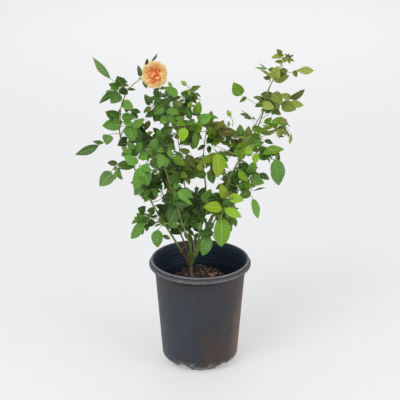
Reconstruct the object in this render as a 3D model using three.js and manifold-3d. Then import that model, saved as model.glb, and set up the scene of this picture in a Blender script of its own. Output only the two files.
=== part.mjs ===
// A rose bush growing in a round nursery pot: pot, potting mix, trunk, canes, foliage masses and one bloom.
// Millimetres, +Z up. The origin is on the floor, at the centre of the pot's flat underside, and the
// bush is seen from the front along +Y. Each foliage mass is one closed solid that holds a spray or a
// bunch of sprays; leaves and twigs are finer than these solids.
import * as THREE from 'three';
import { mergeVertices } from 'three/addons/utils/BufferGeometryUtils.js';
import Module from 'manifold-3d';

const wasm = await Module();
wasm.setup();

const QUARTER_TURN = Math.PI / 2;
const radians = THREE.MathUtils.degToRad;

// ---- Driving dimensions -------------------------------------------------------------------------

const CLEARANCE = 0.5; // gap kept between solids that would touch

const POT = {
  height: 268,
  rimRadius: 125, // outside of the rolled lip
  neckRadius: 112.5, // wall just under the lip
  heelRadius: 94, // wall at the top of the bevelled foot
  heelHeight: 17,
  footRadius: 77,
  wall: 2.6,
  floor: 3.2,
  lipHeight: 14, // the lip's skirt hangs this far below the rim
  lipFlare: 6, // how far the wall flares out to meet the lip's top
  lipRound: 6, // radius that the lip's top edge is rolled to
  segments: 40,
};
// Notches between the foot lobes, each a roofed recess with a drain hole in its inner end. turn is the
// first notch's angle from the front, in degrees.
const NOTCH = {
  count: 5,
  width: 42,
  topWidth: 28,
  height: 19,
  reach: 24, // from the foot's rim in towards the axis
  turn: 42.5,
  holeWidth: 14,
  holeTop: 12,
};

const MIX = {
  edgeHeight: 188, // level beside the pot's wall
  mound: [ // radius and height of the rooted mound in the middle
    [92, 190],
    [80, 197],
    [68, 208],
    [56, 219],
    [42, 228],
    [28, 232],
  ],
  segments: 24,
};

const LIMB = { sides: 6, step: 50 }; // facets round a limb, and length of one facet along it

// Every limb runs through the points of its centre line. start and end are its radii.
const TRUNK = {
  line: [[-19, -27, 205], [-20, -24, 230], [-23, -13, 256]],
  start: 6.2,
  end: 4.8,
  flare: 3.2,
};
const CANES = {
  cane_bloom: {
    line: [[-24, -12, 252], [-49, -18, 303], [-84, -28, 367], [-118, -36, 434], [-154, -40, 515],
      [-183, -38, 578], [-184, -36, 650], [-169, -36, 692], [-143, -36, 726], [-122, -34, 737]],
    start: 3.6,
    end: 1.5,
  },
  cane_top: {
    line: [[-21, -11, 255], [-13, -6, 292], [-24, -4, 334], [-53, 0, 381], [-72, 4, 444], [-81, 8, 518],
      [-66, 8, 596], [-38, 12, 672]],
    start: 3.1,
    end: 1.3,
  },
  cane_centre: {
    line: [[-19, -10, 257], [-7, 0, 300], [-2, 6, 327], [7, 12, 377], [14, 14, 441], [7, 8, 518],
      [16, 4, 600]],
    start: 3.1,
    end: 1.3,
  },
  cane_tall: {
    line: [[-18, -8, 256], [2, 12, 311], [29, 22, 370], [63, 28, 435], [87, 32, 497], [120, 36, 559],
      [145, 38, 608], [154, 38, 665], [169, 36, 704], [190, 34, 740], [197, 32, 762]],
    start: 3.6,
    end: 1.4,
  },
  cane_back_left: {
    line: [[-25, -10, 254], [-37, 40, 289], [-70, 80, 351], [-105, 110, 433], [-130, 125, 545]],
    start: 3.2,
    end: 1.5,
  },
  cane_back: {
    line: [[-22, -8, 257], [-22, 40, 290], [-28, 85, 349], [-40, 115, 429], [-60, 126, 575]],
    start: 3.2,
    end: 1.5,
  },
  cane_back_right: {
    line: [[-19, -6, 257], [10, 46, 297], [50, 88, 360], [90, 112, 450], [119, 128, 531], [158, 122, 615]],
    start: 3.2,
    end: 1.5,
  },
  cane_front: {
    line: [[-23, -17, 256], [-24, -50, 321], [-42, -95, 401], [-62, -122, 479], [-87, -134, 575]],
    start: 2.8,
    end: 1.4,
  },
  cane_front_right: {
    line: [[-20, -17, 256], [7, -45, 335], [33, -78, 412], [60, -98, 494], [102, -114, 590]],
    start: 2.8,
    end: 1.4,
  },
};
const STUB = { // a pruned snag on the bloom's cane
  line: [[-46, -26, 291], [-41, -27, 300], [-38, -26, 312]],
  start: 3.4,
  end: 3.1,
};

const BLOOM = { at: [-102, -56, 741], radius: 34, depth: 40, faceUp: 16, faceLeft: 6 };

// Foliage masses. at is a mass's centre. size is its length along its lean, its depth front to back and
// its width. lean turns its long axis up from +X, in degrees, and point draws that end out to a tip.
const FOLIAGE = {
  spray_tip_left: { at: [-226, -30, 749], size: [74, 16, 22], lean: 124, point: 0.6 },
  spray_top_left: { at: [-190, -30, 697], size: [76, 60, 66], lean: 154, point: 0.1 },
  spray_left_high: { at: [-178, -25, 630], size: [100, 56, 50], lean: 186, point: 0.3 },
  foliage_left: { at: [-152, 2, 584], size: [80, 92, 56], lean: -80, point: 0 },
  spray_far_left: { at: [-247, -48, 571], size: [104, 30, 32], lean: 208, point: 0.5 },
  foliage_left_mid: { at: [-163, -66, 553], size: [60, 52, 50], lean: 216, point: 0.1 },
  spray_left_low: { at: [-202, -38, 498], size: [104, 34, 36], lean: 212, point: 0.3 },
  foliage_left_low: { at: [-124, -46, 476], size: [88, 86, 72], lean: 235, point: 0.1 },
  spray_bottom_left: { at: [-134, -70, 389], size: [98, 42, 42], lean: 237, point: 0.4 },
  spray_foot_left: { at: [-96, -84, 352], size: [56, 26, 30], lean: 259, point: 0.3 },
  foliage_top_left: { at: [-92, 2, 650], size: [82, 112, 80], lean: -39, point: 0 },
  foliage_top: { at: [-24, 14, 662], size: [88, 96, 58], lean: 57, point: 0.2 },
  spray_top_mid: { at: [16, -22, 622], size: [66, 40, 36], lean: 17, point: 0.3 },
  foliage_centre_left: { at: [-96, -26, 562], size: [84, 100, 70], lean: -54, point: 0 },
  foliage_centre_high: { at: [-28, -46, 598], size: [76, 84, 58], lean: 93, point: 0.1 },
  foliage_inner_left: { at: [-66, -58, 488], size: [92, 92, 70], lean: -56, point: 0 },
  foliage_low_left: { at: [-70, -40, 394], size: [80, 92, 66], lean: -52, point: 0 },
  foliage_low: { at: [-8, -46, 414], size: [108, 84, 62], lean: -99, point: 0 },
  spray_centre: { at: [-14, -20, 514], size: [78, 52, 42], lean: -65, point: 0 },
  spray_lime_high: { at: [36, -104, 544], size: [72, 48, 62], lean: -86, point: 0.2 },
  foliage_centre_right: { at: [52, 10, 578], size: [78, 92, 60], lean: -27, point: 0 },
  foliage_right_inner: { at: [110, 0, 556], size: [84, 84, 62], lean: 69, point: 0 },
  foliage_right: { at: [112, -8, 470], size: [100, 92, 70], lean: -46, point: 0.1 },
  spray_lime: { at: [56, -112, 448], size: [86, 52, 74], lean: 0, point: 0.1 },
  spray_lime_low: { at: [50, -100, 376], size: [72, 26, 34], lean: -86, point: 0.4 },
  spray_foot: { at: [14, -80, 346], size: [68, 24, 30], lean: 261, point: 0.3 },
  foliage_low_right: { at: [58, -14, 394], size: [92, 76, 60], lean: -53, point: 0 },
  spray_right_mid: { at: [184, 24, 586], size: [76, 52, 54], lean: -22, point: 0.2 },
  spray_right_arm: { at: [162, -4, 536], size: [84, 34, 32], lean: 7, point: 0.4 },
  spray_right_hang: { at: [170, -28, 490], size: [62, 40, 58], lean: -40, point: 0.2 },
  spray_right_low: { at: [132, -12, 400], size: [62, 22, 24], lean: -73, point: 0.4 },
  spray_right_high: { at: [186, 36, 656], size: [122, 48, 50], lean: 6, point: 0.2 },
  spray_right_top: { at: [170, 26, 719], size: [82, 46, 40], lean: -13, point: 0.1 },
  spray_tip_right: { at: [238, 38, 729], size: [56, 18, 20], lean: 5, point: 0.5 },
  spray_tip_top: { at: [196, 32, 764], size: [48, 36, 34], lean: 18, point: 0.1 },
  spray_lone: { at: [88, -2, 695], size: [36, 14, 28], lean: 125, point: 0.2 },
  foliage_back_left: { at: [-149, 130, 532], size: [88, 84, 82], lean: -49, point: 0 },
  foliage_back_top: { at: [-62, 132, 600], size: [106, 84, 76], lean: 5, point: 0 },
  foliage_back_centre: { at: [-58, 146, 452], size: [84, 92, 88], lean: 0, point: 0 },
  foliage_back_low: { at: [-12, 104, 360], size: [92, 74, 56], lean: 0, point: 0 },
  foliage_back_right: { at: [112, 140, 530], size: [86, 86, 72], lean: -10, point: 0 },
  foliage_back_right_low: { at: [82, 116, 420], size: [92, 84, 74], lean: 6, point: 0 },
  spray_back_top_right: { at: [178, 122, 626], size: [94, 64, 42], lean: -6, point: 0.2 },
  foliage_front_left: { at: [-93, -138, 586], size: [62, 76, 66], lean: -26, point: 0 },
  foliage_front: { at: [-50, -134, 470], size: [70, 76, 62], lean: -20, point: 0 },
  foliage_front_right: { at: [106, -116, 590], size: [62, 66, 54], lean: -43, point: 0 },
};
const MASS = { facets: 1, lumps: 5, roughness: 0.34, spread: 1.06 };

// ---- Materials ------------------------------------------------------------------------------------

const COLOURS = {
  pot: ['#3f4045', 0.55],
  potting_mix: ['#2b211d', 0.95],
  trunk: ['#7a6040', 0.8],
  cane: ['#66792f', 0.6],
  bloom: ['#f0b072', 0.7],
  foliage: ['#3f7034', 0.6],
  lime: ['#8fae35', 0.6],
  bronze: ['#6f6a2e', 0.6],
};

function material(name) {
  const [color, roughness] = COLOURS[name];
  return new THREE.MeshStandardMaterial({ color, roughness, metalness: 0 });
}

// ---- Solids ---------------------------------------------------------------------------------------

// Turns a closed three.js geometry into a manifold solid.
function solidFrom(geometry) {
  geometry.deleteAttribute('normal');
  geometry.deleteAttribute('uv');
  const merged = mergeVertices(geometry, 1e-3);
  return new wasm.Manifold(new wasm.Mesh({
    numProp: 3,
    vertProperties: new Float32Array(merged.attributes.position.array),
    triVerts: new Uint32Array(merged.index.array),
  }));
}

// Turns a solid into a named mesh. A cut can leave crumbs, so only its largest piece is kept.
function meshFrom(name, solid, colour) {
  const [largest] = solid.decompose().sort((a, b) => b.volume() - a.volume());
  const { vertProperties, triVerts } = largest.getMesh();
  const geometry = new THREE.BufferGeometry();
  geometry.setAttribute('position', new THREE.BufferAttribute(vertProperties, 3));
  geometry.setIndex(new THREE.BufferAttribute(triVerts, 1));
  geometry.computeVertexNormals();
  const mesh = new THREE.Mesh(geometry, material(colour));
  mesh.name = name;
  return mesh;
}

// A solid of revolution about +Z from [radius, height] pairs that start and end on the axis.
function turned(profile, segments) {
  const points = profile.map(([radius, height]) => new THREE.Vector2(radius, height));
  return solidFrom(new THREE.LatheGeometry(points, segments).rotateX(QUARTER_TURN));
}

// A cylinder bent along a smooth line, tapering from start to end, with an optional flare at its foot.
function limb({ line, start, end, flare = 0 }, grow = 0) {
  const curve = new THREE.CatmullRomCurve3(line.map((point) => new THREE.Vector3(...point)));
  const steps = Math.max(2, Math.round(curve.getLength() / LIMB.step));
  const frames = curve.computeFrenetFrames(steps);
  const geometry = new THREE.CylinderGeometry(1, 1, 1, LIMB.sides, steps);
  const vertex = new THREE.Vector3();
  const { position } = geometry.attributes;
  for (let i = 0; i < position.count; i += 1) {
    vertex.fromBufferAttribute(position, i);
    const along = vertex.y + 0.5;
    const ring = Math.round(along * steps);
    const radius = THREE.MathUtils.lerp(start, end, along) + flare * Math.exp(-5 * along) + grow;
    const centre = curve.getPointAt(along);
    centre.addScaledVector(frames.binormals[ring], vertex.x * radius);
    centre.addScaledVector(frames.normals[ring], vertex.z * radius);
    position.setXYZ(i, ...centre);
  }
  return solidFrom(geometry);
}

// A repeatable stream of numbers from 0 to 1.
function randomFrom(seed) {
  let state = seed;
  return () => {
    state = (state * 1664525 + 1013904223) % 4294967296;
    return state / 4294967296;
  };
}

// Smooth lumps over the unit sphere, from a few waves in random directions.
function lumpsFrom(seed) {
  const random = randomFrom(seed);
  const waves = Array.from({ length: MASS.lumps }, () => ({
    direction: new THREE.Vector3(random() - 0.5, random() - 0.5, random() - 0.5).normalize(),
    pitch: 2.5 + 3 * random(),
    phase: 2 * Math.PI * random(),
  }));
  return (unit) => waves.reduce(
    (sum, { direction, pitch, phase }) => sum + Math.sin(pitch * unit.dot(direction) + phase),
    0,
  ) / MASS.lumps;
}

// One uneven foliage mass: a lumpy ball stretched to its size, drawn to a point, leaned and set in place.
function foliageMass({ at, size, lean, point }, seed, grow = 0) {
  const lumps = lumpsFrom(seed);
  const geometry = new THREE.IcosahedronGeometry(1, MASS.facets);
  const half = size.map((side) => (MASS.spread * side) / 2 + grow);
  const unit = new THREE.Vector3();
  const { position } = geometry.attributes;
  for (let i = 0; i < position.count; i += 1) {
    unit.fromBufferAttribute(position, i);
    const swell = 1 + MASS.roughness * lumps(unit);
    const narrow = 1 - point * Math.max(0, unit.x);
    position.setXYZ(
      i,
      unit.x * half[0],
      unit.y * half[1] * swell * narrow,
      unit.z * half[2] * swell * narrow,
    );
  }
  geometry.rotateY(-radians(lean));
  geometry.translate(...at);
  return solidFrom(geometry);
}

// ---- The parts ------------------------------------------------------------------------------------

// The pot's outside, from the underside up to the lip's skirt, as [radius, height] pairs.
function potOutside() {
  return [
    [0, 0],
    [POT.footRadius, 0],
    [POT.heelRadius, POT.heelHeight],
    [POT.neckRadius, POT.height - POT.lipHeight + 2],
  ];
}

// A trapezoid bar that runs out through the pot's foot at every notch, grown on its top, its sides and
// its inner end.
function notchBars(grow) {
  const { count, width, topWidth, height, reach, turn } = NOTCH;
  const bar = new THREE.Shape([
    new THREE.Vector2(-width / 2 - grow, -1),
    new THREE.Vector2(width / 2 + grow, -1),
    new THREE.Vector2(topWidth / 2 + grow, height + grow),
    new THREE.Vector2(-topWidth / 2 - grow, height + grow),
  ]);
  return barsAround(bar, POT.footRadius - reach - grow, POT.heelRadius, count, turn);
}

// The drain holes through the notches' inner ends.
function drainBars() {
  const { count, holeWidth, holeTop, reach, turn } = NOTCH;
  const bar = new THREE.Shape([
    new THREE.Vector2(-holeWidth / 2, POT.floor + 1),
    new THREE.Vector2(holeWidth / 2, POT.floor + 1),
    new THREE.Vector2(holeWidth / 2, holeTop),
    new THREE.Vector2(-holeWidth / 2, holeTop),
  ]);
  const inner = POT.footRadius - reach;
  return barsAround(bar, inner - 2 * POT.wall, inner + POT.wall, count, turn);
}

// Bars of one section, each from the inner to the outer radius, spaced evenly about the axis.
function barsAround(section, inner, outer, count, turn) {
  return Array.from({ length: count }, (_, i) => {
    const bar = new THREE.ExtrudeGeometry(section, { depth: outer - inner, bevelEnabled: false });
    bar.translate(0, 0, inner);
    bar.rotateX(QUARTER_TURN); // runs out along -Y, with the section's height along +Z
    bar.rotateZ(radians(turn + (360 * i) / count));
    return solidFrom(bar);
  });
}

function potSolid() {
  const { height, rimRadius, neckRadius, heelRadius, heelHeight, footRadius } = POT;
  const { wall, floor, lipHeight, lipFlare, lipRound, segments } = POT;
  const skirt = height - lipHeight;
  const shell = turned([
    ...potOutside(),
    [neckRadius + lipFlare, height - wall - 3],
    [rimRadius - wall - 2, height - wall - 3],
    [rimRadius - wall - 0.6, skirt],
    [rimRadius - 0.6, skirt],
    [rimRadius, height - lipRound],
    [rimRadius - 2, height - 2],
    [rimRadius - lipRound, height],
    [neckRadius + 2, height - 0.8],
    [neckRadius + 0.8, height - 3],
    [neckRadius - wall, skirt + 3],
    [heelRadius - wall, heelHeight],
    [footRadius - wall, floor],
    [0, floor],
  ], segments);
  const core = turned([...potOutside(), [0, skirt]], segments);
  const roofs = notchBars(wall).map((bar) => bar.intersect(core));
  const roofed = roofs.reduce((pot, roof) => pot.add(roof), shell);
  return [...notchBars(0), ...drainBars()].reduce((pot, bar) => pot.subtract(bar), roofed);
}

// The mix stands on the pot's floor between the notches, then fills the pot from just over their roofs up
// to a mound of rooted mix in the middle.
function mixSolid() {
  const inside = (height) => {
    const { heelRadius, heelHeight, neckRadius, wall } = POT;
    const up = (height - heelHeight) / (POT.height - POT.lipHeight - heelHeight);
    return THREE.MathUtils.lerp(heelRadius, neckRadius, up) - wall - 2 * CLEARANCE;
  };
  const plugRadius = POT.footRadius - NOTCH.reach - POT.wall - CLEARANCE;
  const overRoofs = NOTCH.height + POT.wall + CLEARANCE;
  return turned([
    [0, POT.floor + CLEARANCE],
    [plugRadius, POT.floor + CLEARANCE],
    [plugRadius, overRoofs],
    [inside(overRoofs), overRoofs],
    [inside(MIX.edgeHeight), MIX.edgeHeight],
    ...MIX.mound,
    [0, MIX.mound.at(-1)[1] + 1],
  ], MIX.segments);
}

// A low dome of petals, facing forwards, a little up and to the left.
function bloomSolid(grow = 0) {
  const geometry = new THREE.IcosahedronGeometry(1, 2);
  geometry.scale(BLOOM.radius + grow, BLOOM.depth / 2 + grow, BLOOM.radius + grow);
  geometry.rotateX(-radians(BLOOM.faceUp));
  geometry.rotateZ(-radians(BLOOM.faceLeft));
  geometry.translate(...BLOOM.at);
  return solidFrom(geometry);
}

// ---- The whole bush -------------------------------------------------------------------------------

const bush = new THREE.Group();
bush.name = 'rose_bush';

let taken = limb(TRUNK, CLEARANCE); // the space of every finished solid, with its clearance

// Adds one solid, cut back from everything before it, and takes up its space.
function place(name, solid, grown, colour) {
  bush.add(meshFrom(name, solid.subtract(taken), colour));
  taken = taken.add(grown);
}

bush.add(meshFrom('pot', potSolid(), 'pot'));
bush.add(meshFrom('potting_mix', mixSolid().subtract(taken), 'potting_mix'));
bush.add(meshFrom('trunk', limb(TRUNK), 'trunk'));
place('pruned_stub', limb(STUB), limb(STUB, CLEARANCE), 'trunk');
for (const [name, cane] of Object.entries(CANES)) {
  place(name, limb(cane), limb(cane, CLEARANCE), 'cane');
}
place('bloom', bloomSolid(), bloomSolid(CLEARANCE), 'bloom');

const YOUNG = { spray_lime: 'lime', spray_tip: 'bronze', spray_right: 'bronze' }; // colours by name
Object.entries(FOLIAGE).forEach(([name, mass], index) => {
  const young = Object.keys(YOUNG).find((start) => name.startsWith(start));
  const seed = index + 1;
  place(name, foliageMass(mass, seed), foliageMass(mass, seed, CLEARANCE), young ? YOUNG[young] : 'foliage');
});

export default bush;
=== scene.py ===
"""A rose bush growing in a round nursery pot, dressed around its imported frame.

Metres, +Z up, seen from the front along +Y. Places come from the frame's nodes. Leaves, twigs and
petioles grow on from the canes by seeded rules, one plan for each foliage mass.
"""
import logging
import math
from collections.abc import Callable
from dataclasses import dataclass, field
from enum import Enum
from random import Random

import bmesh
import bpy
import numpy as np
from bmesh.types import BMesh, BMFace, BMVert
from bpy.types import ID, Material, Mesh, Node, NodeSocket, NodeTree, Object
from mathutils import Matrix, Vector
from mathutils.bvhtree import BVHTree
from mathutils.noise import noise


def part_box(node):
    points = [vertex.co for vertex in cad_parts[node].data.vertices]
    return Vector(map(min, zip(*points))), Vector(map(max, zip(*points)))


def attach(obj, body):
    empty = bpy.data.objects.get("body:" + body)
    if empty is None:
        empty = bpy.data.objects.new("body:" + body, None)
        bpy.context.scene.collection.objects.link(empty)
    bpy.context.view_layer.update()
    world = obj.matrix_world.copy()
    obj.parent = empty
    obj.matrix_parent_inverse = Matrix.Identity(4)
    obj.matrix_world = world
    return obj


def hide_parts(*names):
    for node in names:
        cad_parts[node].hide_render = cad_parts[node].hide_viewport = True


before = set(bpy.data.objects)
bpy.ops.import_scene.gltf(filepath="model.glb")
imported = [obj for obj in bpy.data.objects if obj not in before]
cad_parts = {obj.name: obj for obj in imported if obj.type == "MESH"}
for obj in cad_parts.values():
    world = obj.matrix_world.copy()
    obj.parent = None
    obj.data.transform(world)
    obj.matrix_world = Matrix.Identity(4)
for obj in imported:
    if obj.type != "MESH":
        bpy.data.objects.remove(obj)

LOG = logging.getLogger("rose_bush")
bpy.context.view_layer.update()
MM = 0.001
UP = np.array([0.0, 0.0, 1.0])
FRONT = np.array([0.0, -1.0, 0.0])
EYE = np.array([0.0, -2.48, 1.34])  # the camera's place, from which the listed leaflets are seen and set
GOLDEN_TURN = math.pi * (3 - math.sqrt(5))
Array = np.ndarray
Relief = Callable[[Array, Array], Array]  # shares along and angles round to factors
Rounded = tuple[float, float, float]  # a corner of a section: two lengths and its rounding, all in mm


# ---- Helpers ----


def linear(hex_colour: str) -> tuple[float, float, float, float]:
    """Turns an sRGB hex colour into the linear RGBA that shaders use.

    Args:
        hex_colour: a colour such as "#3f4045".

    Returns:
        Linear red, green, blue and an alpha of 1.
    """
    shares = [int(hex_colour[i:i + 2], 16) / 255 for i in (1, 3, 5)]
    red, green, blue = (s / 12.92 if s <= 0.04045 else ((s + 0.055) / 1.055) ** 2.4 for s in shares)
    return red, green, blue, 1.0


def unit(vector: Array) -> Array:
    """The vector at a length of 1."""
    return vector / max(float(np.linalg.norm(vector)), 1e-9)


def per(size_mm: float) -> float:
    """The scale at which a pattern on object coordinates has marks of this size in millimetres."""
    return 1 / (size_mm * MM)


def around(first: Array, second: Array, turn: float) -> Array:
    """The direction at an angle of turn radians from first towards second, which is square to it."""
    return first * math.cos(turn) + second * math.sin(turn)


def add(tree: NodeTree, kind: str, feeds: dict | None = None,
        stops: tuple[tuple[float, str], ...] = (), **settings: object) -> Node:
    """Adds a shader node with its settings and links.

    Args:
        tree: the node tree that the node joins.
        kind: the node's type, without "ShaderNode".
        feeds: for an input's name or number, its value, or the socket or node that feeds it. A node does so
            from its first output.
        stops: a colour ramp's pairs of a rising place from 0 to 1 and an sRGB hex colour.
        settings: the node's own attributes.

    Returns:
        The new node.
    """
    node = tree.nodes.new("ShaderNode" + kind)
    for name, value in settings.items():
        setattr(node, name, value)
    for number, (place, colour) in enumerate(stops):
        elements = node.color_ramp.elements
        stop = elements[number] if number < len(elements) else elements.new(place)
        stop.position, stop.color = place, linear(colour)
    for key, value in (feeds or {}).items():
        if isinstance(value, (Node, NodeSocket)):
            tree.links.new(value.outputs[0] if isinstance(value, Node) else value, node.inputs[key])
        else:
            node.inputs[key].default_value = value
    return node


def new_material(name: str) -> tuple[Material, NodeTree]:
    """Makes an empty node material.

    Args:
        name: the material's name.

    Returns:
        The material and its node tree.
    """
    material = bpy.data.materials.new(name)
    material.use_nodes = True
    material.node_tree.nodes.clear()
    return material, material.node_tree


def meshed(bm: BMesh, name: str) -> Mesh:
    """Turns a bmesh into a mesh, and frees it.

    Args:
        bm: the bmesh.
        name: the mesh's name.

    Returns:
        The mesh.
    """
    mesh = bpy.data.meshes.new(name)
    bm.to_mesh(mesh)
    bm.free()
    return mesh


def placed(name: str, data: ID) -> Object:
    """Puts an object into the scene, at the origin.

    Args:
        name: its name.
        data: what it holds.

    Returns:
        The object.
    """
    thing = bpy.data.objects.new(name, data)
    bpy.context.scene.collection.objects.link(thing)
    return thing


def corners_of(node: str) -> Array:
    """The corners of a CAD node's mesh, each of them once, in rows."""
    return np.unique(np.round([vert.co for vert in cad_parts[node].data.vertices], 5), axis=0)


def ray_tree(mesh: Mesh) -> BVHTree:
    """The mesh's faces, as a tree that rays can be cast at."""
    spots = [vert.co for vert in mesh.vertices]
    return BVHTree.FromPolygons(spots, [face.vertices for face in mesh.polygons])


# ---- Small forms and joined pieces ----


class Path:
    """A smooth line through a few points, with a frame that doesn't twist along it."""

    def __init__(self, knots: list[Array], samples: int = 6) -> None:
        """Draws the line.

        Args:
            knots: the points that it passes.
            samples: the steps between two of them.
        """
        knots = np.array(knots, float)
        padded = np.vstack([2 * knots[0] - knots[1], knots, 2 * knots[-1] - knots[-2]])
        t = np.linspace(0, 1, samples, endpoint=False)[:, None]
        spans = [
            0.5 * (2 * b + (c - a) * t + (2 * a - 5 * b + 4 * c - d) * t**2 + (3 * b - 3 * c + d - a) * t**3)
            for a, b, c, d in zip(padded, padded[1:], padded[2:], padded[3:])
        ]
        self.points = np.vstack([*spans, knots[-1:]])
        steps = np.linalg.norm(np.diff(self.points, axis=0), axis=1)
        self.length = float(steps.sum())
        self.along = np.concatenate([[0], steps.cumsum()]) / self.length
        slopes = np.gradient(self.points, axis=0)
        self.tangents = slopes / np.linalg.norm(slopes, axis=1)[:, None]
        side = unit(np.cross(self.tangents[0], [0.3, 0.9, 0.2]))
        sides = []
        for tangent in self.tangents:
            side = unit(side - tangent * side.dot(tangent))
            sides.append(side)
        self.sides = np.array(sides)

    def at(self, share: Array | float, rows: Array | None = None) -> Array:
        """Reads the line at shares of its length.

        Args:
            share: one or more shares of the length, from 0 to 1.
            rows: what is read, one row for each of the line's points. The points if left out.

        Returns:
            One row for each share.
        """
        rows = self.points if rows is None else rows
        return np.stack([np.interp(share, self.along, column) for column in rows.T], -1)


@dataclass
class Form:
    """A small shape kept as arrays, so that bent copies of it can be joined."""

    points: Array
    faces: list[tuple[int, ...]]
    slots: Array

    @classmethod
    def taken(cls, bm: BMesh) -> "Form":
        """Takes the shape from a bmesh, and frees that.

        Args:
            bm: the shape.

        Returns:
            The form.
        """
        bm.verts.index_update()
        points = np.array([vert.co for vert in bm.verts])
        faces = [tuple(vert.index for vert in face.verts) for face in bm.faces]
        slots = np.array([face.material_index for face in bm.faces])
        bm.free()
        return cls(points, faces, slots)

    @classmethod
    def tube(cls, sides: int, rings: int) -> "Form":
        """Models a closed tube of radius 1 along +Z from 0 to 1.

        Args:
            sides: how many sides it has.
            rings: how many lengths it is made of.

        Returns:
            The tube.
        """
        bm = bmesh.new()
        bmesh.ops.create_cone(bm, cap_ends=True, segments=sides, radius1=1, radius2=1, depth=1)
        bmesh.ops.translate(bm, vec=(0, 0, 0.5), verts=bm.verts)
        lengthwise = [edge for edge in bm.edges if abs(edge.verts[0].co.z - edge.verts[1].co.z) > 0.5]
        bmesh.ops.subdivide_edges(bm, edges=lengthwise, cuts=rings - 1)
        return cls.taken(bm)

    @classmethod
    def sheet(cls, bm: BMesh, under_slot: int = 0) -> "Form":
        """Closes an open sheet with its own copy just beneath, joined to it round the edge.

        Args:
            bm: the sheet, about 1 long, with its top up +Z.
            under_slot: the underside's material slot.

        Returns:
            The closed sheet.
        """
        under = bmesh.ops.duplicate(bm, geom=bm.verts[:] + bm.faces[:])["geom"]
        below = [item for item in under if isinstance(item, BMFace)]
        for face in below:
            face.material_index = under_slot
        bmesh.ops.reverse_faces(bm, faces=below)
        inner = [item for item in under if isinstance(item, BMVert) and not item.is_boundary]
        bmesh.ops.translate(bm, vec=(0, 0, -0.02), verts=inner)
        bmesh.ops.remove_doubles(bm, verts=bm.verts, dist=1e-4)
        return cls.taken(bm)

    def swept(self, path: Path, start: float, end: float, relief: Relief | None = None) -> Array:
        """Bends a tube along a line.

        Args:
            path: the line.
            start: the radius where it begins.
            end: the radius where it ends.
            relief: what shapes the radius along and round it, or None.

        Returns:
            The bent tube's points.
        """
        share = self.points[:, 2]
        radius = start + (end - start) * share
        if relief is not None:
            radius = radius * relief(share, np.arctan2(self.points[:, 1], self.points[:, 0]))
        tangents, sides = path.at(share, path.tangents), path.at(share, path.sides)
        ups = np.cross(tangents, sides)
        across = self.points[:, :1] * sides + self.points[:, 1:2] * ups
        return path.at(share) + across * radius[:, None]


class Piece:
    """Many bent copies of small forms, joined into one mesh."""

    def __init__(self, name: str, materials: list[Material]) -> None:
        """Starts an empty piece.

        Args:
            name: the piece's name.
            materials: what its faces choose from.
        """
        self.name = name
        self.materials = materials
        self.points: list[Array] = []
        self.faces: list[tuple[int, ...]] = []
        self.slots: list[Array] = []
        self.places: list[Array] = []
        self.count = 0

    def join(self, form: Form, points: Array, slots: Array | int = 0) -> None:
        """Joins one copy.

        Args:
            form: the form that was bent.
            points: its bent points.
            slots: the material slot of each face, or one for all.
        """
        self.faces += [tuple(index + self.count for index in face) for face in form.faces]
        self.points.append(points)
        self.places.append(form.points[:, :2])
        self.slots.append(np.zeros(len(form.faces), int) + slots)
        self.count += len(points)

    def finished(self, slot: str, nodes: list[str], sharp: float = 180) -> Object:
        """Builds the joined mesh and hands it to the frame.

        Args:
            slot: the record's material slot; not used.
            nodes: the CAD nodes that it stands for.
            sharp: edges that turn by more than this many degrees stay crisp.

        Returns:
            The finished object.
        """
        mesh = bpy.data.meshes.new(self.name)
        mesh.from_pydata(np.vstack(self.points), [], self.faces)
        mesh.polygons.foreach_set("material_index", np.concatenate(self.slots))
        corners = np.zeros(len(mesh.loops), int)
        mesh.loops.foreach_get("vertex_index", corners)
        layer = mesh.uv_layers.new(name="Blade")
        layer.uv.foreach_set("vector", np.vstack(self.places)[corners].ravel())
        return handed_over(mesh, self.materials, nodes, sharp)


def handed_over(mesh: Mesh, materials: list[Material], nodes: list[str],
                sharp: float = 180) -> Object:
    """Makes a finished mesh a piece of the bush, smooth shaded.

    Args:
        mesh: the finished mesh, in place.
        materials: its materials, in the order of its slots.
        nodes: the CAD nodes that it stands for.
        sharp: edges that turn by more than this many degrees stay crisp.

    Returns:
        The finished object.
    """
    mesh.shade_smooth()
    if sharp < 180:
        mesh.set_sharp_from_angle(angle=math.radians(sharp))
    for material in materials:
        mesh.materials.append(material)
    piece = placed(mesh.name, mesh)
    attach(piece, "root")
    if nodes:
        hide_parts(*nodes)
    LOG.info("%s: %d faces, stands for %d nodes", piece.name, len(mesh.polygons), len(nodes))
    return piece


# ---- Finishes ----


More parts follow.
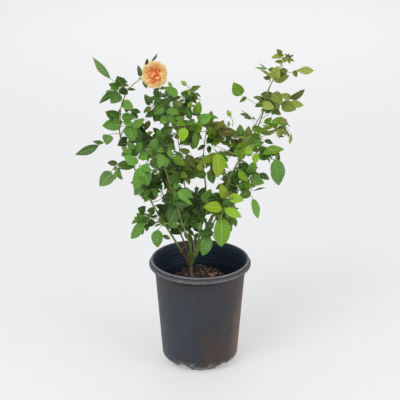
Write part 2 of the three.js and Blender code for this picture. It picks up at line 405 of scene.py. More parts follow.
@dataclass(frozen=True)
class NurseryPlastic:
    """Recycled polypropylene, injection moulded: near black, dull, a dusting on its ledges, scuffed by use.
    Painted highlights lighten the lip's beads, painted shade blackens its groove and the wall under it, and
    painted cool light tints the inside of the wall a bluer navy. Carbon black and mixed scrap leave faint
    cool and warm clouds, which run from a painted cool sheen on the left side to warmer on the right. Hard
    water dries to lime at the foot, and the right-facing side is tinted red-brown, most below its middle.

    Carbon black and mixed scrap leave faint cool and warm clouds. Hard water dries to lime at the foot.
    height is the pot's, in metres.
    """

    height: float
    cool: str = "#2b313c"
    body: str = "#2b2c30"
    warm: str = "#3b2f2a"
    inner_cool_light: str = "#263848"
    painted_shade_black: str = "#08080a"
    dust_highlight_grey: str = "#96969b"
    lime: str = "#b2b4a6"
    right_side_brown: str = "#a4683c"
    roughness: float = 0.5

    def material(self) -> Material:
        """Builds the material: clouds in the plastic, then layer over layer of dirt.

        Returns:
            The material.
        """
        material, tree = new_material("nursery_polypropylene")
        place = add(tree, "TexCoord").outputs["Object"]
        axes = add(tree, "SeparateXYZ", {0: place})
        normal = add(tree, "NewGeometry").outputs["Normal"]
        facing = add(tree, "SeparateXYZ", {0: normal})
        blots = add(tree, "TexNoise", {"Vector": place, "Scale": per(9), "Detail": 5})
        clouds = add(tree, "TexNoise", {"Vector": place, "Scale": per(120), "Detail": 3})
        # the x term runs the clouds from cool on the left to warm on the right; the cool left side is a
        # painted sheen
        clouds_and_side_sheen = add(tree, "Math", {0: axes.outputs[0], 1: 1.3, 2: clouds}, operation="MULTIPLY_ADD")
        colour = add(tree, "ValToRGB", {0: clouds_and_side_sheen},
                     stops=((0.36, self.cool), (0.5, self.body), (0.64, self.warm)))
        # painted cool light: the inside of the wall takes a lighter, bluer navy than the outside
        level = add(tree, "Mapping", {0: place, "Scale": (1, 1, 0)})
        outward = add(tree, "VectorMath", {0: level, 1: normal}, operation="DOT_PRODUCT")
        inside = add(tree, "MapRange", {
            "Value": outward.outputs["Value"], "From Min": -20 * MM, "From Max": -80 * MM})
        # scuffs run down the wall, so their noise is squeezed round it and drawn out in height
        drawn = add(tree, "Mapping", {0: place, "Scale": (1, 1, 0.16)})
        streaks = add(tree, "TexNoise", {"Vector": drawn, "Scale": per(5), "Detail": 4})
        scuff = add(tree, "MapRange", {
            "Value": streaks, "From Min": 0.62, "From Max": 0.85, "To Max": 0.12})
        foot = add(tree, "MapRange", {"Value": axes.outputs[2], "From Min": 30 * MM, "From Max": 2 * MM})
        flecks = add(tree, "MapRange", {"Value": blots, "From Min": 0.46, "From Max": 0.6})
        limed = add(tree, "Math", {0: foot, 1: flecks}, operation="MULTIPLY")
        painted_lip_shade, dust_and_highlights = self.lip(tree, axes.outputs[2], facing.outputs[2], blots)
        right_side_tint = self.right_side_tint(tree, place, axes.outputs[2], facing.outputs[0])
        # painted shade, a dusting with painted highlights, painted cool light inside, scuffs, lime, a
        # red-brown side
        layers = ((painted_lip_shade, self.painted_shade_black), (dust_and_highlights, self.dust_highlight_grey), (inside, self.inner_cool_light), (scuff, self.dust_highlight_grey),
                  (limed, self.lime), (right_side_tint, self.right_side_brown))
        for share, over in layers:
            mix = add(tree, "Mix", {"Factor": share, "A": colour, "B": linear(over)}, data_type="RGBA")
            colour = mix.outputs["Result"]
        dull = add(tree, "MapRange", {
            "Value": blots, "From Min": 0.3, "From Max": 0.7, "To Min": self.roughness - 0.06,
            "To Max": self.roughness + 0.12})
        # the moulded grain is under a millimetre, drawn at 1.6 mm so that it catches light
        grain = add(tree, "TexNoise", {"Vector": place, "Scale": per(1.6), "Detail": 2})
        relief = add(tree, "Bump", {"Strength": 0.25, "Distance": 0.3 * MM, "Height": grain})
        shader = add(tree, "BsdfPrincipled", {
            "Base Color": colour, "IOR": 1.49, "Roughness": dull, "Normal": relief})
        add(tree, "OutputMaterial", {0: shader})
        return material

    def lip(self, tree: NodeTree, rise: NodeSocket, upward: NodeSocket, blots: Node) -> tuple[Node, Node]:
        """Lays a dusting on the ledges and on the lip's two beads, with painted highlights along the beads.
        Painted shade blackens the groove and the wall under the lip.

        Args:
            tree: the node tree.
            rise: the height of the spot.
            upward: how far its surface faces up.
            blots: the noise that breaks the dust up.

        Returns:
            The shares of painted shade and of the dusting with its painted highlights.
        """
        under_top = add(tree, "MapRange", {
            "Value": rise, "From Min": self.height - 30 * MM, "From Max": self.height})
        # painted highlights along the lip's two beads, laid in the same grey as the dusting
        bead_highlights_and_dust = add(tree, "ValToRGB", {0: under_top}, stops=(
            (0.53, "#000000"), (0.56, "#e0e0e0"), (0.66, "#e0e0e0"), (0.7, "#000000"), (0.88, "#000000"),
            (0.93, "#ffffff")))
        # painted shade: near black on the wall under the lip, and partly in the groove between the beads
        painted_lip_shade = add(tree, "ValToRGB", {0: under_top}, stops=(
            (0.08, "#000000"), (0.25, "#ffffff"), (0.52, "#ffffff"), (0.54, "#000000"), (0.69, "#000000"),
            (0.74, "#bbbbbb"), (0.86, "#bbbbbb"), (0.9, "#000000")))
        ledge = add(tree, "MapRange", {"Value": upward, "From Min": 0.15, "From Max": 0.9, "To Max": 0.55})
        ledges_and_beads = add(tree, "Math", {0: ledge, 1: bead_highlights_and_dust}, operation="MAXIMUM")
        dust_and_highlights = add(tree, "Math", {0: ledges_and_beads, 1: blots}, operation="MULTIPLY")
        return painted_lip_shade, dust_and_highlights

    def right_side_tint(self, tree: NodeTree, place: NodeSocket, rise: NodeSocket, rightward: NodeSocket) -> Node:
        """Tints the right-facing side red-brown in patches, thinning out above its middle.

        Args:
            tree: the node tree.
            place: the spot.
            rise: its height.
            rightward: how far its surface faces right.

        Returns:
            The share of red-brown.
        """
        side = add(tree, "MapRange", {"Value": rightward, "From Min": 0.74, "From Max": 1.0})
        patch_noise = add(tree, "TexNoise", {"Vector": place, "Scale": per(45), "Detail": 4})
        patches = add(tree, "MapRange", {"Value": patch_noise, "From Min": 0.3, "From Max": 0.75, "To Max": 0.62})
        sinks = add(tree, "MapRange", {
            "Value": rise, "From Min": 0.75 * self.height, "From Max": 0.5 * self.height, "To Min": 0.15})
        right_patches = add(tree, "Math", {0: side, 1: patches}, operation="MULTIPLY")
        return add(tree, "Math", {0: right_patches, 1: sinks}, operation="MULTIPLY")


@dataclass(frozen=True)
class Crumb:
    """Composted bark, peat and grit: matt and open, darkest where it is damp."""

    name: str
    dark: str
    light: str
    grain: float = 5.0
    roughness: float = 0.93

    def material(self) -> Material:
        """Builds the material, with clods of two tones at the grain's size in millimetres.

        Returns:
            The material.
        """
        material, tree = new_material(self.name)
        place = add(tree, "TexCoord").outputs["Object"]
        clods = add(tree, "TexNoise", {"Vector": place, "Scale": per(self.grain), "Detail": 5})
        colour = add(tree, "ValToRGB", {0: clods}, stops=((0.36, self.dark), (0.64, self.light)))
        relief = add(tree, "Bump", {"Strength": 0.8, "Distance": 1.2 * MM, "Height": clods})
        shader = add(tree, "BsdfPrincipled", {
            "Base Color": colour, "Roughness": self.roughness, "Normal": relief})
        add(tree, "OutputMaterial", {0: shader})
        return material


@dataclass(frozen=True)
class CaneBark:
    """Rose bark: waxy and green while young, going brown and corky from the foot upwards.

    Fine ridges run along it, and the sunny side is flushed with red.
    """

    name: str
    old: str = "#6d5636"
    young: str = "#7d9440"
    shade: str = "#566b30"
    flush: str = "#86603c"
    ripens: float = 0.262
    greens: float = 0.315
    roughness: float = 0.5

    def material(self) -> Material:
        """Builds the material, brown below the height ripens and green above greens, in metres.

        Returns:
            The material.
        """
        material, tree = new_material(self.name)
        place = add(tree, "TexCoord").outputs["Object"]
        height = add(tree, "SeparateXYZ", {0: place}).outputs[2]
        drawn = add(tree, "Mapping", {0: place, "Scale": (1, 1, 0.12)})
        ridges = add(tree, "TexNoise", {"Vector": drawn, "Scale": per(1.6), "Detail": 3})
        mottle = add(tree, "TexNoise", {"Vector": place, "Scale": per(22), "Detail": 3})
        green = add(tree, "ValToRGB", {0: mottle},
                     stops=((0.3, self.shade), (0.46, self.young), (0.8, self.flush)))
        brown = add(tree, "ValToRGB", {0: ridges},
                     stops=((0.35, "#4b3a26"), (0.6, self.old), (0.75, "#97805a")))
        age = add(tree, "MapRange", {"Value": height, "From Min": self.ripens, "From Max": self.greens})
        colour = add(tree, "Mix", {"Factor": age, "A": brown, "B": green}, data_type="RGBA")
        relief = add(tree, "Bump", {"Strength": 0.4, "Distance": 0.4 * MM, "Height": ridges})
        shader = add(tree, "BsdfPrincipled", {
            "Base Color": colour.outputs["Result"], "Roughness": self.roughness, "Normal": relief})
        add(tree, "OutputMaterial", {0: shader})
        return material


@dataclass(frozen=True)
class Tissue:
    """Soft young plant tissue, such as a petiole, prickle or bud: a plain colour under a thin wax.

    Its colour is plain because its place on the bush says which of several it takes.
    """

    name: str
    colour: str
    roughness: float = 0.45
    grain: float = 1.2

    def material(self) -> Material:
        """Builds the material, with a faint relief of the grain's size in millimetres.

        Returns:
            The material.
        """
        material, tree = new_material(self.name)
        place = add(tree, "TexCoord").outputs["Object"]
        cells = add(tree, "TexNoise", {"Vector": place, "Scale": per(self.grain), "Detail": 2})
        relief = add(tree, "Bump", {"Strength": 0.3, "Distance": 0.2 * MM, "Height": cells})
        shader = add(tree, "BsdfPrincipled", {
            "Base Color": linear(self.colour), "Roughness": self.roughness, "Normal": relief})
        add(tree, "OutputMaterial", {0: shader})
        return material


@dataclass(frozen=True)
class LeafBlade:
    """A rose leaflet: waxed and satin above, chalky beneath, quilted between sunken side veins.

    Tints are plain colours dealt out leaflet by leaflet. The quilting breaks up the wax's highlight.
    """

    name: str
    colour: str
    roughness: float
    relief: float = 0.5
    vein_pairs: float = 7.0
    vein_lean: float = 2.6

    def material(self) -> Material:
        """Builds the material, with the veins laid out on the leaflet's own map.

        Returns:
            The material.
        """
        material, tree = new_material(self.name)
        spot = add(tree, "SeparateXYZ", {0: add(tree, "UVMap", uv_map="Blade")})
        out = add(tree, "Math", {0: spot.outputs[1]}, operation="ABSOLUTE")
        forward = add(tree, "Math", {0: spot.outputs[0], 1: self.vein_pairs}, operation="MULTIPLY")
        back = add(tree, "Math", {0: out, 1: -self.vein_lean, 2: forward}, operation="MULTIPLY_ADD")
        panel = add(tree, "Math", {0: back, 1: 0.5}, operation="PINGPONG")
        quilt = add(tree, "Math", {0: panel, 1: 0.6}, operation="POWER")
        keel = add(tree, "MapRange", {"Value": out, "From Min": 0.0, "From Max": 0.06})
        height = add(tree, "Math", {0: quilt, 1: keel}, operation="MULTIPLY")
        relief = add(tree, "Bump", {"Strength": self.relief, "Distance": 3 * MM, "Height": height})
        shader = add(tree, "BsdfPrincipled", {
            "Base Color": linear(self.colour), "Specular IOR Level": 0.48, "Roughness": self.roughness,
            "Normal": relief})
        add(tree, "OutputMaterial", {0: shader})
        return material


@dataclass(frozen=True)
class Petal:
    """A rose petal: velvety, paler at its rim, with colour pooled towards its claw.

    Its tiny domed cells scatter light, which a sheen gives. Light that has passed through the stacked
    petals warms the hollows, which scattering beneath the surface gives, and a faint painted glow in the
    blade's colour lifts every petal.
    """

    name: str
    rim: str
    blade: str
    claw: str

    def material(self) -> Material:
        """Builds the material, with its colours laid out along the petal's own map.

        Returns:
            The material.
        """
        material, tree = new_material(self.name)
        spot = add(tree, "UVMap", uv_map="Blade")
        along = add(tree, "SeparateXYZ", {0: spot}).outputs[0]
        colour = add(tree, "ValToRGB", {0: along},
                     stops=((0.25, self.claw), (0.72, self.blade), (0.97, self.rim)))
        drawn = add(tree, "Mapping", {0: spot, "Scale": (1.5, 16, 1)})
        veins = add(tree, "TexNoise", {"Vector": drawn, "Scale": 2.0, "Detail": 3})
        relief = add(tree, "Bump", {"Strength": 0.2, "Distance": 0.4 * MM, "Height": veins})
        # painted glow: the emission lights every petal faintly in its blade's colour
        shader = add(tree, "BsdfPrincipled", {
            "Base Color": colour, "Roughness": 0.6, "Sheen Weight": 0.1, "Subsurface Weight": 0.4,
            "Subsurface Scale": 6 * MM, "Subsurface Radius": (1.0, 0.75, 0.45),
            "Emission Color": linear(self.blade), "Emission Strength": 0.09, "Normal": relief})
        add(tree, "OutputMaterial", {0: shader})
        return material


@dataclass(frozen=True)
class OpalTable:
    """A matt opal table, lit faintly from beneath so that the pot's shadow stays pale."""

    colour: str = "#c4c4c4"
    glow: float = 0.33

    def material(self) -> Material:
        """Builds the material.

        Returns:
            The material.
        """
        material, tree = new_material("opal_table")
        shader = add(tree, "BsdfPrincipled", {
            "Base Color": linear(self.colour), "Roughness": 0.9, "Specular IOR Level": 0.1,
            "Emission Strength": self.glow, "Emission Color": linear("#ffffff")})
        add(tree, "OutputMaterial", {0: shader})
        return material


# ---- Studio ----


@dataclass(frozen=True)
class SoftBox:
    """A square soft box: where it hangs and what it faces, its side in metres and its power in watts."""

    name: str
    at: tuple[float, float, float]
    aim: tuple[float, float, float]
    side: float
    watts: float

    def hang(self) -> None:
        """Hangs the box in the scene."""
        light = bpy.data.lights.new(self.name, "AREA")
        light.size, light.energy = self.side, self.watts
        box = placed(self.name, light)
        box.location = self.at
        box.rotation_euler = (Vector(self.aim) - Vector(self.at)).to_track_quat("-Z", "Y").to_euler()


@dataclass
class Studio:
    """The pale floor, the soft lights and the camera."""

    camera_dip: float = 20.35
    lens: float = 99.0
    floor_radius: float = 14.0
    sky: str = "#fbfcff"
    sky_strength: float = 0.62
    boxes: tuple[SoftBox, ...] = (
        SoftBox("key", (-1.5, -1.9, 2.9), (0, 0, 0.4), 1.7, 46),
        SoftBox("fill", (2.0, -1.4, 2.0), (0, 0, 0.4), 1.8, 18),
        SoftBox("backdrop", (0.2, 4.4, 3.2), (0.2, 4.6, 0), 3.6, 56),
    )

    def build(self) -> None:
        """Sets up the camera, the even sky, the soft boxes and the floor, a wide round sheet."""
        scene = bpy.context.scene
        scene.view_settings.view_transform = "Standard"
        camera = scene.camera = placed("camera", bpy.data.cameras.new("camera"))
        camera.data.lens = self.lens
        camera.location = EYE
        camera.rotation_euler = (math.radians(90 - self.camera_dip), 0, 0)
        scene.world = bpy.data.worlds.new("dome")
        scene.world.use_nodes = True
        background = scene.world.node_tree.nodes["Background"]
        background.inputs[0].default_value = linear(self.sky)
        background.inputs[1].default_value = self.sky_strength
        for box in self.boxes:
            box.hang()
        bm = bmesh.new()
        bmesh.ops.create_circle(bm, cap_ends=True, radius=self.floor_radius, segments=96)
        floor = placed("studio_floor", meshed(bm, "studio_floor"))
        floor.data.materials.append(OpalTable().material())


# ---- Pot and potting mix ----


class Cut(Enum):
    """What a cutter does to the shape that it meets."""

    ADD = "UNION"
    TAKE = "DIFFERENCE"
    KEEP = "INTERSECT"


def carved(mesh: Mesh, cutter: Mesh, cut: Cut) -> Mesh:
    """Cuts one closed mesh with another.

    Args:
        mesh: the mesh to change.
        cutter: the mesh that cuts it.
        cut: what the cutter does.

    Returns:
        The new mesh.
    """
    target, tool = (placed("carving", data) for data in (mesh, cutter))
    modifier = target.modifiers.new("cut", "BOOLEAN")
    modifier.operation, modifier.solver, modifier.object = cut.value, "EXACT", tool
    bpy.context.view_layer.update()
    result = bpy.data.meshes.new_from_object(target.evaluated_get(bpy.context.evaluated_depsgraph_get()))
    for piece in (target, tool):
        bpy.data.objects.remove(piece)
    return result


def draw_face(bm: BMesh, corners: list[tuple[tuple[float, float, float], float]], segments: int) -> None:
    """Draws a lone face and rounds its corners.

    Args:
        bm: what it is drawn in.
        corners: their places and roundings, in millimetres.
        segments: how many steps a rounding takes.
    """
    made = [bm.verts.new([value * MM for value in place]) for place, _ in corners]
    bm.faces.new(made)
    for vert, (_, rounding) in zip(made, corners):
        if rounding:
            bmesh.ops.bevel(bm, geom=[vert], offset=rounding * MM, offset_type="OFFSET", segments=segments,
                            profile=0.5, affect="VERTICES", material=-1)


def spun(profile: list[Rounded], steps: int) -> Mesh:
    """Spins a closed profile about +Z.

    Args:
        profile: corners as radius, height and rounding, from axis to axis.
        steps: how many steps a turn takes.

    Returns:
        A closed mesh in metres.
    """
    bm = bmesh.new()
    draw_face(bm, [((radius, 0, height), rounding) for radius, height, rounding in profile], 4)
    bmesh.ops.delete(bm, geom=bm.faces[:], context="FACES_ONLY")
    on_axis = [edge for edge in bm.edges if all(vert.co.x < 1e-6 for vert in edge.verts)]
    bmesh.ops.delete(bm, geom=on_axis, context="EDGES")
    bmesh.ops.spin(bm, geom=bm.verts[:] + bm.edges[:], angle=2 * math.pi, steps=steps, axis=(0, 0, 1),
                   cent=(0, 0, 0), use_merge=True)
    bmesh.ops.remove_doubles(bm, verts=bm.verts, dist=1e-5)
    bmesh.ops.recalc_face_normals(bm, faces=bm.faces)
    return meshed(bm, "spun")


@dataclass
class Pot:
    """The nursery pot: a rolled lip, a stepped neck, a ribbed inside and a foot of five lobes.

    Lengths are in millimetres.
    """

    rim: float = 125.0
    neck: float = 112.5
    heel: float = 94.0
    heel_height: float = 17.0
    foot: float = 77.0
    wall: float = 2.6
    floor: float = 3.2
    skirt: float = 14.0
    flare: float = 3.5
    ribs: tuple[float, ...] = (212.0, 221.0, 230.0, 239.0)
    notches: int = 5
    notch_turn: float = 42.5
    notch_size: tuple[float, float, float] = (42.0, 28.0, 19.0)
    notch_reach: float = 24.0
    hole_size: tuple[float, float] = (14.0, 12.0)
    steps: int = 120

    def build(self) -> None:
        """Spins the shell, sets the notches' roofs in it and cuts the notches and drain holes."""
        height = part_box("pot")[1].z / MM
        shell = spun(self.shell_profile(height), self.steps)
        core = spun([*self.outside(height - self.skirt, 0.5), (0, height - self.skirt, 0)], self.steps)
        roofs = carved(self.bars(self.wall, *self.notch_size, self.notch_reach), core, Cut.KEEP)
        body = carved(shell, roofs, Cut.ADD)
        body = carved(body, self.bars(0, *self.notch_size, self.notch_reach), Cut.TAKE)
        width, top = self.hole_size
        body = carved(body, self.bars(0, width, width, top, self.notch_reach + 8, self.floor + 1), Cut.TAKE)
        body.name = "pot_body"
        handed_over(body, [NurseryPlastic(height * MM).material()], ["pot"], sharp=32)

    def outside(self, top: float, inset: float = 0) -> list[Rounded]:
        """The outside of the wall, from the axis at the underside up to the height top, less inset."""
        return [(0, inset, 0), (self.foot - inset, inset, 2), (self.heel - inset, self.heel_height, 2),
                (self.neck - 1 - inset, top, 0)]

    def shell_profile(self, height: float) -> list[Rounded]:
        """Draws the whole section through the wall, as radius, height and rounding.

        Args:
            height: the pot's height.

        Returns:
            The section's corners.
        """
        skirt = height - self.skirt
        neck, inner = self.neck, self.neck - self.wall
        ribbed = [corner for rib in reversed(self.ribs) for corner in self.rib(rib, height)]
        return [
            *self.outside(skirt - 24)[:3],
            (neck - 2.6, skirt - 24, 0),
            (neck - 1.6, skirt - 23, 0.4),
            (neck - 1.4, skirt - 12, 0.4),
            (neck - 0.4, skirt - 10, 0.4),
            (neck, skirt + 2, 2),
            (neck + self.flare, skirt + 8, 1.5),
            (neck + self.flare + 4.4, skirt + 8, 1),
            (self.rim - 3.2, skirt, 0.6),
            (self.rim - 0.4, skirt, 0.8),
            (self.rim, skirt + 4.6, 1.4),
            (self.rim - 4, skirt + 6.6, 0.8),
            (self.rim - 5, height - 3.6, 0.8),
            (self.rim - 4.2, height - 2, 0.8),
            (self.rim - 5.6, height, 0.8),
            (self.rim - 9, height, 1.6),
            (neck + 0.8, height - 3, 1.5),
            (inner, skirt + 1, 4),
            *ribbed,
            (self.heel - self.wall, self.heel_height, 0),
            (self.foot - self.wall, self.floor, 0),
            (0, self.floor, 0),
        ]

    def rib(self, at: float, height: float) -> list[Rounded]:
        """Draws one shallow rib round the inside of the wall, from its top down.

        Args:
            at: the rib's height.
            height: the pot's height.

        Returns:
            The rib's corners.
        """
        run = (at - self.heel_height) / (height - self.skirt - self.heel_height)
        radius = self.heel + (self.neck - self.heel) * run - self.wall
        return [(radius + 0.1, at + 3, 0), (radius - 0.4, at + 1.5, 0.5), (radius - 0.5, at - 0.5, 0.5),
                (radius - 0.1, at - 2, 0)]

    def bars(self, grow: float, width: float, top_width: float, height: float, reach: float,
             bottom: float = -1.0) -> Mesh:
        """Makes the bars that run out through the foot at every notch.

        Args:
            grow: how much larger they are on their top, sides and inner end.
            width: a bar's width at its bottom.
            top_width: its width at its top.
            height: the height of its top.
            reach: how far it runs in from the foot's rim.
            bottom: the height of its bottom.

        Returns:
            The bars as one mesh.
        """
        bm = bmesh.new()
        inner, outer = self.foot - reach - grow, self.heel + 4
        section = [(-width / 2 - grow, bottom, 0), (width / 2 + grow, bottom, 0),
                   (top_width / 2 + grow, height + grow, 3), (-top_width / 2 - grow, height + grow, 3)]
        draw_face(bm, [((x, -inner, z), rounding) for x, z, rounding in section], 3)
        pulled = bmesh.ops.extrude_face_region(bm, geom=bm.faces[:])["geom"]
        tips = [item for item in pulled if isinstance(item, BMVert)]
        bmesh.ops.translate(bm, vec=(0, (inner - outer) * MM, 0), verts=tips)
        turn = Matrix.Rotation(math.radians(self.notch_turn), 3, "Z")
        bmesh.ops.rotate(bm, cent=(0, 0, 0), matrix=turn, verts=bm.verts)
        bmesh.ops.spin(bm, geom=bm.verts[:] + bm.edges[:] + bm.faces[:], cent=(0, 0, 0), axis=(0, 0, 1),
                       angle=2 * math.pi * (1 - 1 / self.notches), steps=self.notches - 1,
                       use_duplicate=True)
        bmesh.ops.recalc_face_normals(bm, faces=bm.faces)
        return meshed(bm, "bars")


@dataclass
class PottingMix:
    """The mix that fills the pot: a rooted mound of clods with bark chips and grit on it.

    Lengths are in millimetres.
    """

    depth: float = 30.0
    mound: tuple[tuple[float, float], ...] = ((102, 188), (92, 190), (80, 197), (68, 208), (56, 219),
                                              (42, 228), (28, 232), (0, 233))
    clods: tuple[tuple[float, float], ...] = ((26.0, 5.0), (9.0, 3.2), (4.5, 1.4))
    chips: int = 560
    chip_size: tuple[float, float] = (2.3, 6.8)
    chunks: tuple[tuple[float, float, float, int], ...] = (
        (-29, -58, 17, 2), (30, -22, 11, 1), (39, -13, 10, 1), (37, -34, 10, 1), (47, -20, 10, 1))
    seed: int = 11

    def build(self) -> None:
        """Makes the bed of mix, then strews the chips on it."""
        bed = self.bed()
        ground = ray_tree(bed)
        finish = Crumb("damp_peat_mix", "#17110f", "#3a2b25").material()
        handed_over(bed, [finish], ["potting_mix"])
        self.strew(ground)

    def bed(self) -> Mesh:
        """Spins the mound and roughens its top into clods.

        Returns:
            The bed's closed mesh.
        """
        (rim, level), *_ = self.mound
        profile = [(0, level - self.depth, 0), (rim - 2, level - self.depth, 0)]
        mesh = spun(profile + [(radius, height, 0) for radius, height in self.mound], 90)
        bm = bmesh.new()
        bm.from_mesh(mesh)
        top = [edge for edge in bm.edges if min(vert.co.z for vert in edge.verts) > (level - 1) * MM]
        bmesh.ops.subdivide_edges(bm, edges=top, cuts=3, use_grid_fill=True)
        for vert in bm.verts:
            inside = 1 - (math.hypot(vert.co.x, vert.co.y) / (rim * MM)) ** 6
            if vert.co.z > (level - 1) * MM:
                rough = sum(high * noise(vert.co * per(wide)) for wide, high in self.clods)
                vert.co.z += rough * MM * inside
        bmesh.ops.recalc_face_normals(bm, faces=bm.faces)
        return meshed(bm, "potting_mix_bed")

    def strew(self, ground: BVHTree) -> None:
        """Lays bark chips and grit over the mound.

        Args:
            ground: the bed's surface.
        """
        rng = Random(self.seed)
        finishes = [
            Crumb("dark_bark_chip", "#1c1310", "#3c2a22", 3).material(),
            Crumb("pale_bark_chip", "#6e4c3e", "#b0846e", 3).material(),
            Crumb("red_bark_chip", "#5a3426", "#84543f", 3).material(),
            Crumb("quartz_grit", "#8f8577", "#c9c0b2", 2, 0.7).material(),
        ]
        chips = Piece("bark_chips", finishes)
        form = self.chip()
        reach = self.mound[0][0] - 9
        for number in range(self.chips):
            radius = reach * math.sqrt((number + 0.5) / self.chips)
            turn = number * GOLDEN_TURN + rng.uniform(-0.3, 0.3)
            across, back = radius * math.cos(turn), radius * math.sin(turn)
            # more pale chips lie on the right and more dark ones on the left, partly as painted light and
            # painted shade
            kind = rng.choices(range(len(finishes)), (50, 36, 4, 10) if across > 0 else (84, 7, 2, 7))[0]
            size = rng.uniform(*self.chip_size) * (0.5 if kind == 3 else 1)
            self.lay(chips, form, ground, (across, back, size, kind), rng)
        for chunk in self.chunks:
            self.lay(chips, form, ground, chunk, rng)
        chips.finished("potting_mix", [], sharp=40)

    def lay(self, chips: Piece, form: Form, ground: BVHTree, chunk: tuple[float, float, float, int],
            rng: Random) -> None:
        """Lays one chip flat on the mound.

        Args:
            chips: the piece it joins.
            form: the chip's form.
            ground: the bed's surface.
            chunk: how far across and back it lies, its length and its kind.
            rng: the random stream that tilts and shapes it.
        """
        across, back, size, kind = chunk
        spot, normal, _, _ = ground.ray_cast(Vector((across * MM, back * MM, 0.4)), Vector((0, 0, -1)))
        tilt = Vector((rng.gauss(0, 0.35), rng.gauss(0, 0.35), 1)) + normal
        turned = tilt.to_track_quat("Z", "Y").to_matrix() @ Matrix.Rotation(rng.uniform(0, 6.3), 3, "Z")
        scale = np.array([1, rng.uniform(0.4, 0.8), rng.uniform(0.25, 0.5)]) * size * MM
        wobble = np.array([[rng.uniform(0.8, 1.2)] for _ in form.points])
        points = (form.points * wobble * scale) @ np.array(turned).T
        chips.join(form, points + np.array(spot + tilt.normalized() * size * MM * 0.1), kind)

    def chip(self) -> Form:
        """Models a chip as a flake with blunted arrises.

        Returns:
            The chip.
        """
        bm = bmesh.new()
        bmesh.ops.create_cube(bm, size=1)
        bmesh.ops.bevel(bm, geom=bm.edges[:], offset=0.16, offset_type="OFFSET", segments=1, profile=0.5,
                        affect="EDGES", material=-1)
        return Form.taken(bm)


# ---- Trunk and canes ----


def centre_line(node: str, gap: float = 12 * MM) -> tuple[list[Array], float, float]:
    """Finds a limb's centre line from the rings of corners in its node's mesh.

    Args:
        node: the limb's CAD node.
        gap: corners closer than this to a ring's middle belong to that ring.

    Returns:
        The rings' middles from the foot up, and the radii at the foot and at the tip.
    """
    corners = corners_of(node)
    rings: list[list[Array]] = []
    for corner in corners[corners[:, 2].argsort()]:
        near = [ring for ring in rings if np.linalg.norm(np.mean(ring, axis=0) - corner) < gap]
        if near:
            near[0].append(corner)
        else:
            rings.append([corner])
    middles = [np.mean(ring, axis=0) for ring in rings]
    radii = [float(np.linalg.norm(np.array(ring) - middle, axis=1).mean())
             for ring, middle in zip(rings, middles)]
    return middles, radii[1 if len(radii) > 2 else 0], radii[-1]


